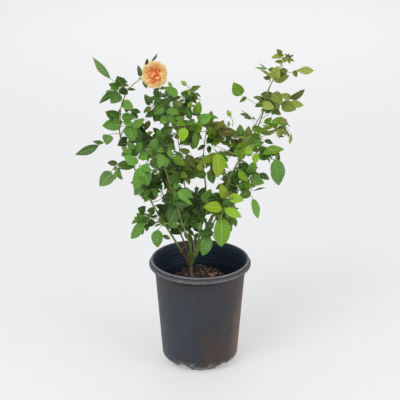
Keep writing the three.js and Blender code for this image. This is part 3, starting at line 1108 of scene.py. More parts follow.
@dataclass
class Canes:
    """The trunk, its pruned stub and the canes, each a tapering limb with nodes, ridges and prickles.

    Lengths are in metres.
    """

    sides: int = 12
    ring_gap: float = 4 * MM
    node_gap: float = 42 * MM
    slimness: float = 0.74
    brown_footed: tuple[str, ...] = ("cane_bloom", "cane_back_left")
    swelling: float = 0.16
    prickle_gap: float = 24 * MM
    prickle: tuple[float, float] = (2.4 * MM, 4.6 * MM)
    paths: dict[str, Path] = field(default_factory=dict)
    widths: dict[str, tuple[float, float]] = field(default_factory=dict)

    def trace(self) -> None:
        """Reads the limbs' centre lines from the frame, and joins the canes to the trunk's fork."""
        trunk, start, end = centre_line("trunk")
        self.paths["trunk"] = Path(trunk)
        self.widths["trunk"] = (start * self.slimness, end * self.slimness)
        fork = trunk[-1] - unit(trunk[-1] - trunk[0]) * 5 * MM
        for name in sorted(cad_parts):
            if name.startswith("cane_"):
                middles, start, end = centre_line(name)
                ahead = [middle for middle in middles if middle[2] > fork[2] + 12 * MM]
                self.paths[name] = Path([fork, *ahead])
                self.widths[name] = (start * self.slimness, end * self.slimness)
        stub, start, end = centre_line("pruned_stub")
        joint, _, _ = self.nearest(stub[0])
        self.paths["pruned_stub"] = Path([joint, *stub])
        self.widths["pruned_stub"] = (start * 0.5, end * 0.55)

    def nearest(self, spot: Array, below: float = math.inf) -> tuple[Array, Array, float]:
        """Finds the cane that passes closest to a spot.

        Args:
            spot: the spot.
            below: only points of canes under this height count.

        Returns:
            The closest point on a cane, the cane's direction there and its radius.
        """
        best = (math.inf, spot, UP, 1.0)
        for name, path in self.paths.items():
            away = np.linalg.norm(path.points - spot, axis=1) + np.where(path.points[:, 2] > below, 9.0, 0)
            index = int(away.argmin())
            if name.startswith("cane_") and away[index] < best[0]:
                start, end = self.widths[name]
                radius = start + (end - start) * path.along[index]
                best = (away[index], path.points[index], path.tangents[index], radius)
        return best[1:]

    def build(self) -> None:
        """Sweeps the limbs, then sets the prickles on the canes."""
        old = Piece("trunk_bark", [CaneBark("corky_rose_bark", ripens=0.285, greens=0.36).material(),
                                   CaneBark("snag_bark", "#85492e", ripens=0.4, greens=0.5).material()])
        young = Piece("cane_bark", [CaneBark("green_rose_bark", ripens=0.235, greens=0.265).material(),
                                    CaneBark("brown_footed_bark", ripens=0.285, greens=0.315).material()])
        for name, path in self.paths.items():
            start, end = self.widths[name]
            limb = young if name.startswith("cane_") else old
            form = Form.tube(self.sides, max(6, round(path.length / self.ring_gap)))
            foot = start * (1.25 if name == "trunk" else 1)
            second = name in self.brown_footed or name == "pruned_stub"
            limb.join(form, form.swept(path, foot, end, self.relief(name)), int(second))
        old.finished("old_bark", ["trunk", "pruned_stub"], sharp=60)
        young.finished("green_bark", [name for name in self.paths if name.startswith("cane_")], sharp=60)
        self.arm()

    def relief(self, name: str) -> Relief:
        """Makes the bark's relief for one limb.

        Args:
            name: the limb's node, which seeds it.

        Returns:
            The relief.
        """
        rng = Random(name)
        path = self.paths[name]
        phase, ridges = rng.random(), rng.choice((3, 4, 5))
        rough = 0.16 if name == "trunk" else 0.05

        def factor(share: Array, angle: Array) -> Array:
            """Shapes the limb.

            Args:
                share: how far along it, from 0 to 1.
                angle: the angle round it, in radians.

            Returns:
                Factors on the radius.
            """
            along = share * path.length / self.node_gap + phase
            swollen = self.swelling * np.exp(-((along - np.round(along)) * self.node_gap / (3.2 * MM)) ** 2)
            ridged = rough * np.sin(ridges * angle + 5 * share + 6 * phase)
            flare = 0.55 * np.exp(-share * path.length / (9 * MM)) if name == "trunk" else 0
            stout = 0.8 * np.exp(-share * path.length / (40 * MM)) if name in self.brown_footed else 0
            burr = 0.3 * np.exp(-((share - 0.9) / 0.13) ** 2) if name == "trunk" else 0
            return 1 + swollen + ridged + flare + stout + burr

        return factor

    def arm(self) -> None:
        """Sets hooked prickles on the canes, in a loose spiral."""
        prickles = Piece("prickles", [Tissue("young_prickle", "#8a5a3a", 0.4).material()])
        form = Form.tube(5, 3)
        for name, path in self.paths.items():
            if not name.startswith("cane_"):
                continue
            rng = Random(f"prickles of {name}")
            start, end = self.widths[name]
            for number in range(int(path.length * 0.9 / self.prickle_gap)):
                share = (number + 0.5 + rng.uniform(-0.4, 0.4)) * self.prickle_gap / path.length + 0.03
                middle, tangent = path.at(share), unit(path.at(share, path.tangents))
                side = path.at(share, path.sides)
                turn = number * GOLDEN_TURN + rng.uniform(-0.5, 0.5)
                out = unit(around(side, np.cross(tangent, side), turn))
                radius = start + (end - start) * share
                size = rng.uniform(*self.prickle)
                root = middle + out * radius * 0.6
                hook = Path([root, root + out * size * 0.5, root + out * size - tangent * size * 0.45], 3)
                points = form.swept(hook, 1.15 * MM, 0.12 * MM)
                stretched = (points - root) @ np.outer(tangent, tangent) * 0.7
                prickles.join(form, points + stretched * (1 - form.points[:, 2:3]))
        prickles.finished("green_bark", [])


# ---- Foliage ----


class Tint(Enum):
    """What colour a leaf is: three tones above, then its midrib, then its underside.
    The tones above run from dark to light. Besides the leaves' own differences they carry painted light: on
    the leaflets set one by one a dark tone is painted shade and a light one a painted highlight, DEEP's dark
    tones in the inner masses are partly painted shade, and SAGE's pale grey-green is partly a painted sheen.
    """

    DEEP = ("#304e16", "#4f7625", "#71a13d", "#85a753", "#799a59")
    GREEN = ("#40691a", "#588b29", "#76b23f", "#90bc59", "#91b166")
    SAGE = ("#517331", "#6e954a", "#94bd6e", "#a5c67d", "#a2bb77")
    FRESH = ("#50760e", "#6f9e18", "#96c628", "#afcc52", "#9db855")
    LIME = ("#7b9a0c", "#90ae0e", "#aec320", "#c9d855", "#acbf59")
    OLIVE = ("#5c6a1a", "#7f902f", "#a9b950", "#b2bf66", "#a1ad6c")
    BRONZE = ("#626022", "#807d30", "#9e9b48", "#acba6c", "#97a368")


DEEP, GREEN, SAGE, FRESH, LIME, OLIVE, BRONZE = Tint
RIB, UNDER = 3, 4  # a tint's colours after its three upper tones
GLOSS = {DEEP: 0.3, GREEN: 0.32, SAGE: 0.45, FRESH: 0.4, LIME: 0.42, OLIVE: 0.46, BRONZE: 0.48}


class Lot(Enum):
    """The joined piece that a tint's leaves go to. Its value is the name of the record's slot, which the CAD
    nodes' materials also carry.
    """

    GREEN = "green_leaves"
    LIME = "lime_leaves"
    BRONZE = "bronze_leaves"


LOTS = {Lot.GREEN: (DEEP, GREEN, SAGE), Lot.LIME: (FRESH, LIME), Lot.BRONZE: (OLIVE, BRONZE)}


@dataclass(frozen=True)
class Outline:
    """A leaflet's outline: its half widths at even shares from base to tip, its fold and wave.

    full is its width for its length when it is seen flat, and steps are its faces along.
    """

    halves: tuple[float, ...]
    fold: float = 0.4
    wave: float = 0.06
    steps: int = 6
    full: float = 0.62

    def form(self) -> Form:
        """Models the leaflet as a thin closed blade, 1 long along +X and 1 wide, with its top up +Z.

        Returns:
            The leaflet, with slot 0 above, RIB along its midrib and UNDER beneath.
        """
        bm = bmesh.new()
        bmesh.ops.create_grid(bm, x_segments=self.steps, y_segments=5, size=0.5)
        across = ((-1, -0.6, -0.2, 0.2, 0.6, 1), (-1, -0.56, -0.036, 0.036, 0.56, 1))
        shares = np.linspace(0, 1, len(self.halves))
        for face in bm.faces:
            face.material_index = RIB if abs(face.calc_center_median().y) < 0.05 else 0
        for vert in bm.verts:
            share = vert.co.x + 0.5
            out = float(np.interp(vert.co.y * 2, *across))
            half = 0.5 * float(np.interp(share, shares, self.halves))
            lift = self.fold * abs(out) - 0.55 * self.fold * out * out
            ripple = self.wave * math.sin(11 * share + 2 * out) * out * out
            vert.co = (share, out * half, (lift + ripple) * half)
        return Form.sheet(bm, UNDER)


OVATE = (0, 0.66, 0.92, 1, 0.98, 0.88, 0.68, 0.4, 0)
ROUND = (0, 0.66, 0.93, 1, 0.98, 0.88, 0.7, 0.42, 0)
SLENDER = (0, 0.42, 0.74, 0.94, 1, 0.88, 0.64, 0.34, 0)
PLAIN = (Outline(OVATE, 0.5), Outline(ROUND, fold=0.6, wave=0.12), Outline(SLENDER, wave=-0.1))
BROAD = Outline(OVATE, fold=0.5, wave=0.09, steps=8)
LANCE = Outline(SLENDER, fold=0.55, wave=0.05, steps=8, full=0.34)
SPOON = Outline((0, 0.16, 0.34, 0.6, 0.85, 1, 0.9, 0.55, 0), fold=0.3, steps=8, full=0.36)


@dataclass(frozen=True)
class Blade:
    """One listed leaflet. base and tip are shares of its mass's box, across and up, seen from EYE.

    tone counts from dark to light: on a leaflet that lies in shadow a dark tone is painted shade, and on one
    that catches the light a light tone is a painted highlight. width is its seen width for its seen length:
    a leaflet that looks narrower than its outline is turned about its midrib, and one that looks wider leans
    to the viewer.
    """

    tint: Tint
    tone: int
    base: tuple[float, float]
    tip: tuple[float, float]
    width: float = 0.55
    outline: Outline = BROAD


@dataclass(frozen=True)
class Plan:
    """How a mass is leaved.

    leaves is how many compound leaves grow through it by rule, leaflet is their end leaflet's length in
    millimetres, and tints are dealt out to them. stalk is what its own stalk passes, in shares of the
    mass's box. blades are the listed leaflets, from the rearmost to the nearest, each as Blade's fields.
    """

    tints: tuple[Tint, ...] = (DEEP, GREEN)
    leaves: int = 0
    leaflet: float = 31.0
    stalk: tuple[tuple[float, float], ...] = ()
    blades: tuple[tuple, ...] = ()
    seed: int = 1


# one plan for each foliage mass, by its node
PLANS: dict[str, Plan] = {
    "spray_tip_left": Plan((SAGE,), stalk=((1.35, .02), (.97, .14)), blades=(
        (SAGE, 1, (.97, .15), (.1, .92), .24, LANCE),
    )),
    "spray_top_left": Plan(leaves=2, leaflet=22, stalk=((.72, .35), (.58, .5)), blades=(
        (DEEP, 1, (.78, .58), (1.06, .55), .25, LANCE), (DEEP, 0, (.56, .56), (.82, .4), .6),
        (GREEN, 0, (.52, .5), (-.05, .1), .22, LANCE), (GREEN, 0, (.66, .7), (.52, .97), 1),
        (GREEN, 1, (.57, .6), (.26, .73), .6), (DEEP, 1, (.58, .42), (.3, .12), .8),
        (DEEP, 2, (.62, .15), (.97, -.08), .6),
    )),
    "spray_left_high": Plan(leaves=2, leaflet=24, stalk=((.46, .2), (.44, .6)), blades=(
        (DEEP, 0, (.44, .65), (.44, 1), .25), (GREEN, 0, (.43, .6), (.12, .85), .6),
        (GREEN, 1, (.46, .33), (.04, .22), .55), (GREEN, 1, (.47, .62), (.77, .62), .55),
        (GREEN, 2, (.5, .42), (.73, .25), .5), (DEEP, 2, (.7, .15), (.97, .52), .45),
    )),
    "spray_far_left": Plan((SAGE,), stalk=((1.15, 1), (.9, .97), (.76, .62), (.64, .53)), blades=(
        (SAGE, 0, (.64, .52), (.06, .1), .3, LANCE), (SAGE, 1, (.75, .62), (.48, .67), .33, LANCE),
        (GREEN, 1, (.88, .95), (.82, .53), .9),
    )),
    "spray_left_low": Plan((GREEN,), 2, 24, stalk=((1.05, .8), (.6, .83), (.43, .61)), blades=(
        (OLIVE, 0, (.6, .9), (.34, .93), .45), (GREEN, 1, (1.03, .78), (.62, .8), .3, LANCE),
        (DEEP, 1, (.6, .85), (.86, .88), .5), (SAGE, 1, (.43, .6), (.13, .05), .6),
    )),
    "spray_bottom_left": Plan(leaves=3, leaflet=24, stalk=((1.05, .5), (.6, .52), (.48, .52)), blades=(
        (DEEP, 0, (1, .7), (.78, .65), .4), (DEEP, 1, (.9, .85), (.62, .85), .85),
        (GREEN, 0, (.56, .86), (.28, .92), .95), (DEEP, 0, (.62, .5), (.95, .5), .75),
        (GREEN, 1, (.5, .55), (.24, .78), .6), (GREEN, 0, (.48, .55), (.76, .6), .7),
        (GREEN, 1, (.5, .48), (0, .03), .42),
    )),
    "spray_foot_left": Plan(stalk=((.9, 1.2), (.5, 1), (.35, .94)), blades=(
        (SAGE, 0, (.75, .68), (1.35, .52), .45), (GREEN, 1, (.35, .94), (.3, .15), .53),
        (LIME, 1, (.42, .36), (.33, .15), .6),
    )),
    "foliage_left": Plan(leaves=6, blades=(
        (DEEP, 0, (1.12, .38), (.79, .35), .4), (OLIVE, 0, (1.1, .92), (.86, .64), .4),
        (DEEP, 0, (.15, .45), (-.2, .22), .5), (SAGE, 1, (.45, .06), (.25, .3), .5),
        (GREEN, 1, (.5, .02), (.8, .3), .5), (GREEN, 0, (.5, .75), (.84, 1), .4),
        (SAGE, 0, (.5, .75), (.68, .22), .45), (GREEN, 1, (.2, .8), (.42, .32), .65),
    )),
    "foliage_left_mid": Plan(leaves=3, blades=(
        (DEEP, 0, (.38, .95), (0, .87), .5), (GREEN, 2, (.8, .35), (1.32, .5), .5),
        (GREEN, 1, (.74, .55), (.95, 1.02), .5), (SAGE, 1, (.62, .62), (.4, 1), .5),
        (GREEN, 2, (.58, .5), (.2, .72), .5), (DEEP, 1, (.42, .08), (0, .02), .45),
        (GREEN, 2, (.8, .1), (.24, .42), .5),
    )),
    "foliage_left_low": Plan(leaves=8, leaflet=29,
        stalk=((.95, .1), (.7, .5), (.5, .84), (.27, .97)), blades=(
        (DEEP, 0, (.9, .28), (.45, .25), .25), (DEEP, 0, (.92, .5), (.72, .62), .6),
        (SAGE, 1, (.95, .35), (.7, .48), .35), (DEEP, 1, (.45, .42), (.36, .07), .7),
        (SAGE, 1, (.32, .42), (.08, .18), .7), (GREEN, 1, (.35, .9), (.5, .43), .6),
        (GREEN, 2, (.28, .98), (.64, .86), .5), (GREEN, 2, (.25, .96), (.1, .3), .45),
    )),
    "foliage_top_left": Plan(leaves=6, blades=(
        (DEEP, 0, (.7, 1.05), (.3, 1), .2), (OLIVE, 1, (.25, .5), (.04, .33), .45),
        (DEEP, 1, (.22, .55), (.08, .87), .45), (GREEN, 0, (.39, 1.03), (.43, .74), .5),
        (OLIVE, 2, (1, .68), (1.06, .51), .6), (BRONZE, 0, (1.06, .79), (.78, .68), .35),
        (GREEN, 2, (.98, .82), (.6, 1.07), .4), (DEEP, 1, (.58, .55), (.8, .8), .5),
        (GREEN, 0, (.55, .52), (.3, .82), .4), (GREEN, 1, (.6, .5), (.33, .3), .6),
        (DEEP, 2, (.66, .38), (1.02, .3), .45), (DEEP, 2, (.68, .22), (.48, .02), .7),
        (GREEN, 1, (.72, .25), (.88, 0), .6),
    )),
    "foliage_top": Plan(leaves=4, stalk=((.5, .3), (.54, .6), (.52, .78)), blades=(
        (BRONZE, 0, (.43, .52), (.3, .53), .35), (OLIVE, 1, (.7, .78), (.9, .62), .22, LANCE),
        (OLIVE, 0, (.6, .67), (.75, .43), .35), (OLIVE, 1, (.58, .86), (.8, .9), .7),
        (FRESH, 0, (.46, .72), (.17, .72), .5), (FRESH, 2, (.54, .78), (.36, .83), .5),
        (DEEP, 0, (.45, .3), (.26, .4), .55), (OLIVE, 2, (.45, .25), (.57, .5), .45),
        (DEEP, 1, (.36, .1), (.12, .28), .5), (DEEP, 1, (.58, .12), (.92, .1), .35),
        (GREEN, 0, (.38, .28), (.56, 0), .6), (FRESH, 1, (.7, .12), (.86, .5), .55),
    )),
    "spray_top_mid": Plan((FRESH, OLIVE), 3, 20, stalk=((0, -.1), (.3, .3), (.6, .45)), blades=(
        (LIME, 0, (.55, .15), (.6, -.4), .3), (BRONZE, 2, (.8, .3), (1.07, .45), .5),
        (BRONZE, 1, (.7, .2), (.8, .46), .5), (OLIVE, 2, (.68, .1), (.42, .3), .5),
        (GREEN, 2, (.6, .82), (.9, .69), .35, LANCE), (GREEN, 2, (.2, .58), (.68, .88), .6),
        (LIME, 2, (.55, .45), (.64, .72), .5), (LIME, 1, (.15, .5), (.25, -.15), .55),
        (LIME, 2, (.12, .28), (-.13, .05), .55), (FRESH, 2, (.14, .05), (.18, -.2), .6),
    )),
    "foliage_centre_left": Plan(leaves=11, blades=(
        (OLIVE, 0, (1, .55), (.68, .76), .25), (DEEP, 0, (.9, 0), (.58, .22), .6),
        (DEEP, 2, (.5, .38), (.65, .75), .35), (DEEP, 2, (.62, .6), (.45, .95), .5),
        (GREEN, 0, (.6, .85), (.97, 1.02), .6), (GREEN, 0, (.25, .25), (-.2, .12), .5),
        (GREEN, 1, (.5, .3), (.2, .12), .5), (GREEN, 1, (.42, .6), (.16, .33), .7),
    )),
    "foliage_centre_high": Plan((DEEP, OLIVE, GREEN), 11, 24, blades=(
        (OLIVE, 0, (.5, .28), (.18, .16), .35), (OLIVE, 1, (.26, .62), (.14, .33), .35),
        (OLIVE, 0, (.78, .5), (.6, .28), .5), (DEEP, 2, (.42, .9), (.03, .98), .45),
        (GREEN, 1, (.82, .92), (.54, .76), .6), (FRESH, 1, (.56, .78), (-.02, .83), .28, LANCE),
        (BRONZE, 0, (.58, .67), (.08, .7), .25, LANCE), (DEEP, 0, (1.25, .15), (.94, 0), .4),
        (FRESH, 0, (.87, .58), (.88, .04), .36, LANCE), (FRESH, 2, (.42, .68), (.32, .26), .6),
    )),
    "foliage_inner_left": Plan((DEEP, DEEP, OLIVE), 13, 27, blades=(
        (DEEP, 0, (.3, 1), (.62, .84), .6), (DEEP, 0, (.5, .82), (.73, .72), .5),
        (DEEP, 0, (.14, .5), (0, .56), .9), (SAGE, 0, (.2, .82), (.28, .28), .22),
        (SAGE, 1, (.74, .5), (.52, .45), .4), (OLIVE, 2, (.72, .68), (.92, .6), .8),
        (DEEP, 1, (.7, .62), (.38, .42), .7), (FRESH, 1, (.52, 1.15), (.86, .92), .5),
    )),
    "foliage_low_left": Plan((DEEP,), 10, 28, blades=(
        (DEEP, 0, (.7, .15), (.48, -.15), .5), (DEEP, 0, (1.05, .3), (.7, .05), .5),
        (GREEN, 0, (.93, -.07), (1.2, -.4), .35, LANCE), (DEEP, 1, (.85, .3), (.88, -.1), .5),
        (DEEP, 0, (.72, .65), (1.02, .55), .6), (DEEP, 0, (.85, -.1), (.5, -.12), .35),
        (BRONZE, 2, (.8, .2), (.93, .13), .5), (GREEN, 0, (.55, .65), (.5, 1), .4),
        (GREEN, 0, (1, .8), (.55, .85), .4), (FRESH, 0, (.35, .46), (.22, .4), .6),
        (SAGE, 0, (.7, .68), (.45, .2), .7),
    )),
    "foliage_low": Plan((DEEP,), 22, 29, blades=(
        (DEEP, 0, (.32, .28), (.16, 0), .5), (DEEP, 0, (.37, .11), (.74, 0), .5),
        (DEEP, 1, (.58, .28), (.48, .06), .5), (GREEN, 1, (.63, .21), (.61, -.03), .45),
        (DEEP, 1, (.56, -.03), (.45, -.24), .35), (GREEN, 0, (.24, .04), (.43, -.11), .4, LANCE),
        (GREEN, 0, (.45, -.65), (.23, -.47), .35, LANCE), (DEEP, 0, (.2, .85), (.55, .75), .5),
        (DEEP, 2, (.75, .65), (1, .95), .6), (GREEN, 0, (-.1, .85), (.35, .58), .4),
        (GREEN, 0, (.65, .4), (.35, .45), .6), (DEEP, 1, (.3, .3), (.05, .4), .6),
        (GREEN, 0, (1.1, .1), (.8, .2), .7), (SAGE, 2, (.6, .02), (.65, .22), .4),
        (GREEN, 1, (1, .03), (.62, -.1), .5),
    )),
    "spray_centre": Plan((OLIVE, DEEP, OLIVE), 9, 25, blades=(
        (OLIVE, 0, (1.05, .8), (.78, .82), .3), (OLIVE, 1, (.3, .95), (-.2, 1.05), .45),
        (DEEP, 0, (.95, .48), (.65, .42), .3), (DEEP, 1, (.55, .25), (.2, .1), .7),
        (OLIVE, 0, (.1, .88), (.55, .4), .35), (OLIVE, 1, (.1, .55), (.45, .3), .35),
        (FRESH, 0, (1.05, .2), (.5, .2), .6),
    )),
    "spray_lime_high": Plan((OLIVE, DEEP), leaves=5, leaflet=24, seed=2,
        stalk=((.45, 1.12), (.55, .9)), blades=(
        (OLIVE, 0, (.75, .9), (1.15, .78), .35), (GREEN, 0, (.35, .35), (.45, -.1), .5),
        (BRONZE, 2, (.78, .42), (.8, .15), .5), (GREEN, 1, (.62, .92), (.96, .6), .4),
        (FRESH, 2, (.6, .85), (.97, .38), .4), (LIME, 0, (.55, .88), (.02, .55), .38),
        (LIME, 1, (.55, .86), (.6, .08), .42),
    )),
    "foliage_centre_right": Plan((OLIVE, LIME, FRESH), 13, 24, blades=(
        (GREEN, 0, (.2, .5), (.03, .25), .6), (GREEN, 0, (.12, .18), (.12, -.1), .5),
        (GREEN, 0, (.3, .58), (.45, .35), .5), (OLIVE, 1, (.5, .5), (.52, .35), .7),
        (GREEN, 1, (.45, .35), (.65, .2), .4), (DEEP, 1, (.72, .55), (.65, .28), .4),
        (BRONZE, 2, (.95, .5), (.82, .47), .7), (LIME, 0, (.15, .9), (.12, .5), .3),
        (OLIVE, 2, (.27, .88), (.18, .98), .5), (FRESH, 2, (.7, .85), (.68, 1.05), .4),
        (FRESH, 2, (.55, .95), (.33, .95), .5), (BRONZE, 0, (.48, .62), (.9, .7), .5),
    )),
    "foliage_right_inner": Plan((OLIVE, FRESH), 5, 26, blades=(
        (OLIVE, 1, (.75, .4), (.92, .25), .6), (OLIVE, 1, (1, .7), (.85, .6), .7),
        (GREEN, 0, (.7, .62), (.55, .48), .7), (OLIVE, 1, (.55, .7), (.58, 1.05), .5),
        (GREEN, 1, (.3, .75), (.28, 1.1), .5), (FRESH, 0, (.95, .7), (.7, .82), .5),
        (LIME, 0, (.7, .95), (1, 1.02), .6), (FRESH, 1, (.85, .95), (1.08, .92), .9),
        (GREEN, 1, (.62, .45), (1.12, .57), .4),
    )),
    "foliage_right": Plan((DEEP, GREEN), 10, 27, blades=(
        (OLIVE, 0, (.68, .24), (1.02, .34), .12, LANCE), (DEEP, 1, (0, .65), (.25, .78), .5),
        (DEEP, 0, (.28, .98), (.62, .72), .4), (DEEP, 2, (.6, .7), (.72, 1.05), .55),
        (SAGE, 0, (.8, .68), (1.1, .55), .5), (DEEP, 2, (.6, .62), (.96, .45), .6),
        (FRESH, 0, (.62, .2), (.3, .08), .6), (FRESH, 1, (.4, .36), (.66, .43), .45),
        (FRESH, 2, (.3, .8), (.55, .5), .4),
    )),
    "spray_lime": Plan((DEEP,), leaves=8, stalk=((.44, -.1), (.45, .3), (.52, .72)), blades=(
        (DEEP, 0, (.6, .8), (.82, .88), .4), (LIME, 1, (.53, .65), (.4, 1.15), .42),
        (FRESH, 2, (.58, .68), (1, .6), .48), (FRESH, 2, (.5, .3), (.95, .05), .45),
        (LIME, 1, (.45, .32), (-.03, .38), .48),
    )),
    "spray_lime_low": Plan((LIME,), stalk=((.5, 1.2), (.55, 1)), blades=(
        (OLIVE, 0, (.85, .98), (.95, .62), .5), (GREEN, 2, (1, .78), (1.12, .53), .35),
        (FRESH, 0, (.75, .6), (.78, .15), .4), (FRESH, 1, (.5, 1.02), (.55, .02), .46),
    )),
    "spray_foot": Plan(stalk=((1.25, .75), (.8, .7)), blades=(
        (FRESH, 0, (1, .7), (1.28, .55), .5), (GREEN, 0, (.98, .82), (0, .7), .55),
        (GREEN, 1, (.75, .68), (.2, -.02), .47),
    )),
    "foliage_low_right": Plan((DEEP, GREEN), 14, 28, blades=(
        (DEEP, 0, (.5, .68), (.97, .6), .22), (DEEP, 2, (.85, .3), (.82, .1), .5),
    )),
    "spray_right_mid": Plan((FRESH, LIME), 4, 19,
        stalk=((0, .22), (.45, .5), (.7, .72), (.76, .92)), blades=(
        (SAGE, 0, (.1, .03), (.38, -.13), .45), (OLIVE, 1, (.42, .48), (.05, .33), .3),
        (OLIVE, 2, (.55, .62), (.34, .53), .35), (OLIVE, 1, (.82, .8), (.9, .72), .3),
        (FRESH, 1, (.1, .85), (.32, 1.15), .55), (LIME, 0, (.5, .65), (.2, .82), .45),
        (OLIVE, 2, (.6, .62), (.53, .2), .45), (BRONZE, 2, (.7, .6), (.76, .27), .6),
        (LIME, 0, (.83, .42), (.86, .2), .4), (OLIVE, 2, (.92, .35), (.9, -.15), .3),
        (BRONZE, 2, (.8, .95), (.55, .97), .55), (FRESH, 1, (.78, .93), (.3, .95), .4),
    )),
    "spray_right_arm": Plan((FRESH, GREEN), 3, 24, stalk=((0, .6), (.3, .62)), blades=(
        (GREEN, 1, (.15, .95), (.46, .75), .5), (DEEP, 2, (.15, .4), (.5, .4), .5),
        (FRESH, 0, (.35, .6), (.8, .6), .35), (FRESH, 1, (.3, .62), (.92, .9), .34),
    )),
    "spray_right_hang": Plan((FRESH,), stalk=((.4, 1.6), (.68, 1.35), (.74, 1.18)), blades=(
        (OLIVE, 0, (.62, 1.45), (.78, 1.1), .45), (GREEN, 1, (.6, 1.2), (.79, .1), .46),
    )),
    "spray_right_low": Plan((FRESH,), stalk=((-.1, 1.3), (.3, 1.02)), blades=(
        (GREEN, 2, (.3, 1), (.85, .13), .3),
    )),
    "spray_right_high": Plan((OLIVE,), stalk=((.2, -.3), (.35, 0), (.53, .35), (.7, .6)), blades=(
        (OLIVE, 1, (.2, .56), (.03, .7), .4), (OLIVE, 0, (.4, .75), (.16, .82), .4),
        (OLIVE, 2, (.72, .65), (.53, .82), .5), (OLIVE, 0, (.7, .62), (.97, 1.05), .3),
        (OLIVE, 1, (.38, .88), (.57, .42), .65), (OLIVE, 2, (.72, .5), (.96, .32), .5),
        (OLIVE, 1, (.55, .38), (.82, .13), .65), (OLIVE, 2, (.2, .4), (.42, .2), .6),
        (OLIVE, 0, (.4, .1), (.55, -.1), .5),
    )),
    "spray_right_top": Plan((OLIVE,), 2, 20, stalk=((.36, -.5), (.48, .12), (.52, .32)), blades=(
        (SAGE, 2, (.48, .15), (.22, .48), .08, LANCE), (SAGE, 2, (.35, .85), (0, .95), .15, LANCE),
        (SAGE, 2, (.33, .88), (.1, 1.2), .12, LANCE), (OLIVE, 2, (.48, .38), (.14, .83), .17, LANCE),
        (OLIVE, 1, (.72, .78), (.92, .75), .6), (OLIVE, 1, (.52, .75), (.37, .85), .8),
        (OLIVE, 1, (.62, .35), (.9, .6), .4), (OLIVE, 2, (.54, .3), (.64, 1.02), .65),
        (OLIVE, 1, (.53, .22), (.96, .5), .35),
    )),
    "spray_tip_right": Plan((OLIVE,), stalk=((-.35, .25), (.05, .3), (.25, .52)), blades=(
        (OLIVE, 1, (.19, .5), (.3, -.22), .6), (OLIVE, 2, (.2, .5), (.97, .5), .36, SPOON),
    )),
    "spray_tip_top": Plan((OLIVE,), stalk=((.42, -.35), (.4, .1), (.38, .5)), blades=(
        (OLIVE, 2, (.42, .17), (.05, .17), .4), (BRONZE, 1, (.37, .6), (.12, .97), .5),
        (OLIVE, 2, (.4, .53), (-.12, .4), .45), (OLIVE, 2, (.38, .5), (.46, .66), .6),
        (BRONZE, 2, (.64, .45), (.95, .6), .32), (BRONZE, 2, (.64, .35), (1, .18), .36),
        (OLIVE, 2, (.65, .45), (.52, .7), .4), (FRESH, 1, (.68, .45), (.74, .7), .4),
        (BRONZE, 2, (.64, .4), (.36, .33), .4), (BRONZE, 2, (.66, .38), (.78, .02), .42),
        (OLIVE, 2, (.64, .4), (.46, .1), .5),
    )),
    "spray_lone": Plan((FRESH,), stalk=((1.85, -.55), (1.1, -.15), (.73, .04)), blades=(
        (FRESH, 0, (1.1, -.02), (.6, -.45), .35, LANCE), (FRESH, 1, (.72, .05), (.17, .97), .64),
    )),
    "foliage_front_left": Plan(leaves=7),
    "foliage_front": Plan((GREEN, DEEP), leaves=3, blades=(
        (DEEP, 0, (.35, .72), (.48, .45), .6), (GREEN, 0, (.3, .8), (.3, .2), .33),
        (DEEP, 2, (.52, .8), (1, .5), .35), (GREEN, 0, (.35, .3), (.9, .25), .32),
        (GREEN, 2, (.5, .78), (.95, .24), .36),
    )),
    "foliage_front_right": Plan((FRESH,), leaves=2, blades=(
        (DEEP, 2, (.3, .2), (0, .35), .5), (FRESH, 0, (.72, .58), (.58, .8), .6),
        (LIME, 0, (.42, .48), (.4, .7), .6), (LIME, 0, (.4, .42), (.3, 0), .45),
        (FRESH, 2, (.7, .42), (.4, .25), .8), (FRESH, 2, (.88, .22), (.82, -.2), .55),
    )),
    "bloom": Plan(stalk=((-.05, .4), (.1, .4)), blades=(
        (DEEP, 1, (.38, .98), (.6, 1.25), .2, LANCE), (DEEP, 0, (.2, .85), (.25, 1.08), .4),
        (GREEN, 0, (.02, .45), (-.07, .85), .33), (DEEP, 1, (.08, .28), (.23, .03), .4),
    )),
}
REAR_PLAN = Plan((DEEP, GREEN, FRESH), leaves=9, leaflet=33.0)


class Mass:
    """The space that one CAD foliage node holds."""

    def __init__(self, name: str) -> None:
        """Reads the space from the frame.

        Args:
            name: the mass's CAD node.
        """
        self.name = name
        self.low, self.high = (np.array(corner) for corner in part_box(name))
        self.centre = corners_of(name).mean(axis=0)
        self.depth = float(self.high[1] - self.low[1])
        self.tree = ray_tree(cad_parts[name].data)

    def shell(self, direction: Array) -> Array:
        """Finds where a ray from the mass's centre leaves it.

        Args:
            direction: the ray's direction.

        Returns:
            The point.
        """
        far = self.centre + direction * 0.5
        hit, _, _, _ = self.tree.ray_cast(Vector(far), Vector(-direction))
        return self.centre + direction * 0.02 if hit is None else np.array(hit)

    def held(self, spot: Array, slack: float = 6 * MM) -> Array:
        """Draws a spot that lies outside the mass in towards its centre.

        Args:
            spot: the spot.
            slack: how far outside it may stay, in metres.

        Returns:
            The spot, moved or not.
        """
        reach = spot - self.centre
        limit = float(np.linalg.norm(self.shell(unit(reach)) - self.centre)) + slack
        return self.centre + reach * min(1.0, limit / max(float(np.linalg.norm(reach)), 1e-6))

    def spot(self, share: tuple[float, float], behind: float = 0.0) -> Array:
        """Finds a point seen at shares of the mass's box.

        Args:
            share: shares of the box across and up, on the upright plane through its middle.
            behind: how far behind that plane the point is along the line of sight, in metres.

        Returns:
            The point.
        """
        across, up = share
        point = np.array([self.low[0] + across * (self.high[0] - self.low[0]), self.centre[1],
                          self.low[2] + up * (self.high[2] - self.low[2])])
        sight = unit(point - EYE)
        return point + sight * behind / sight[1]


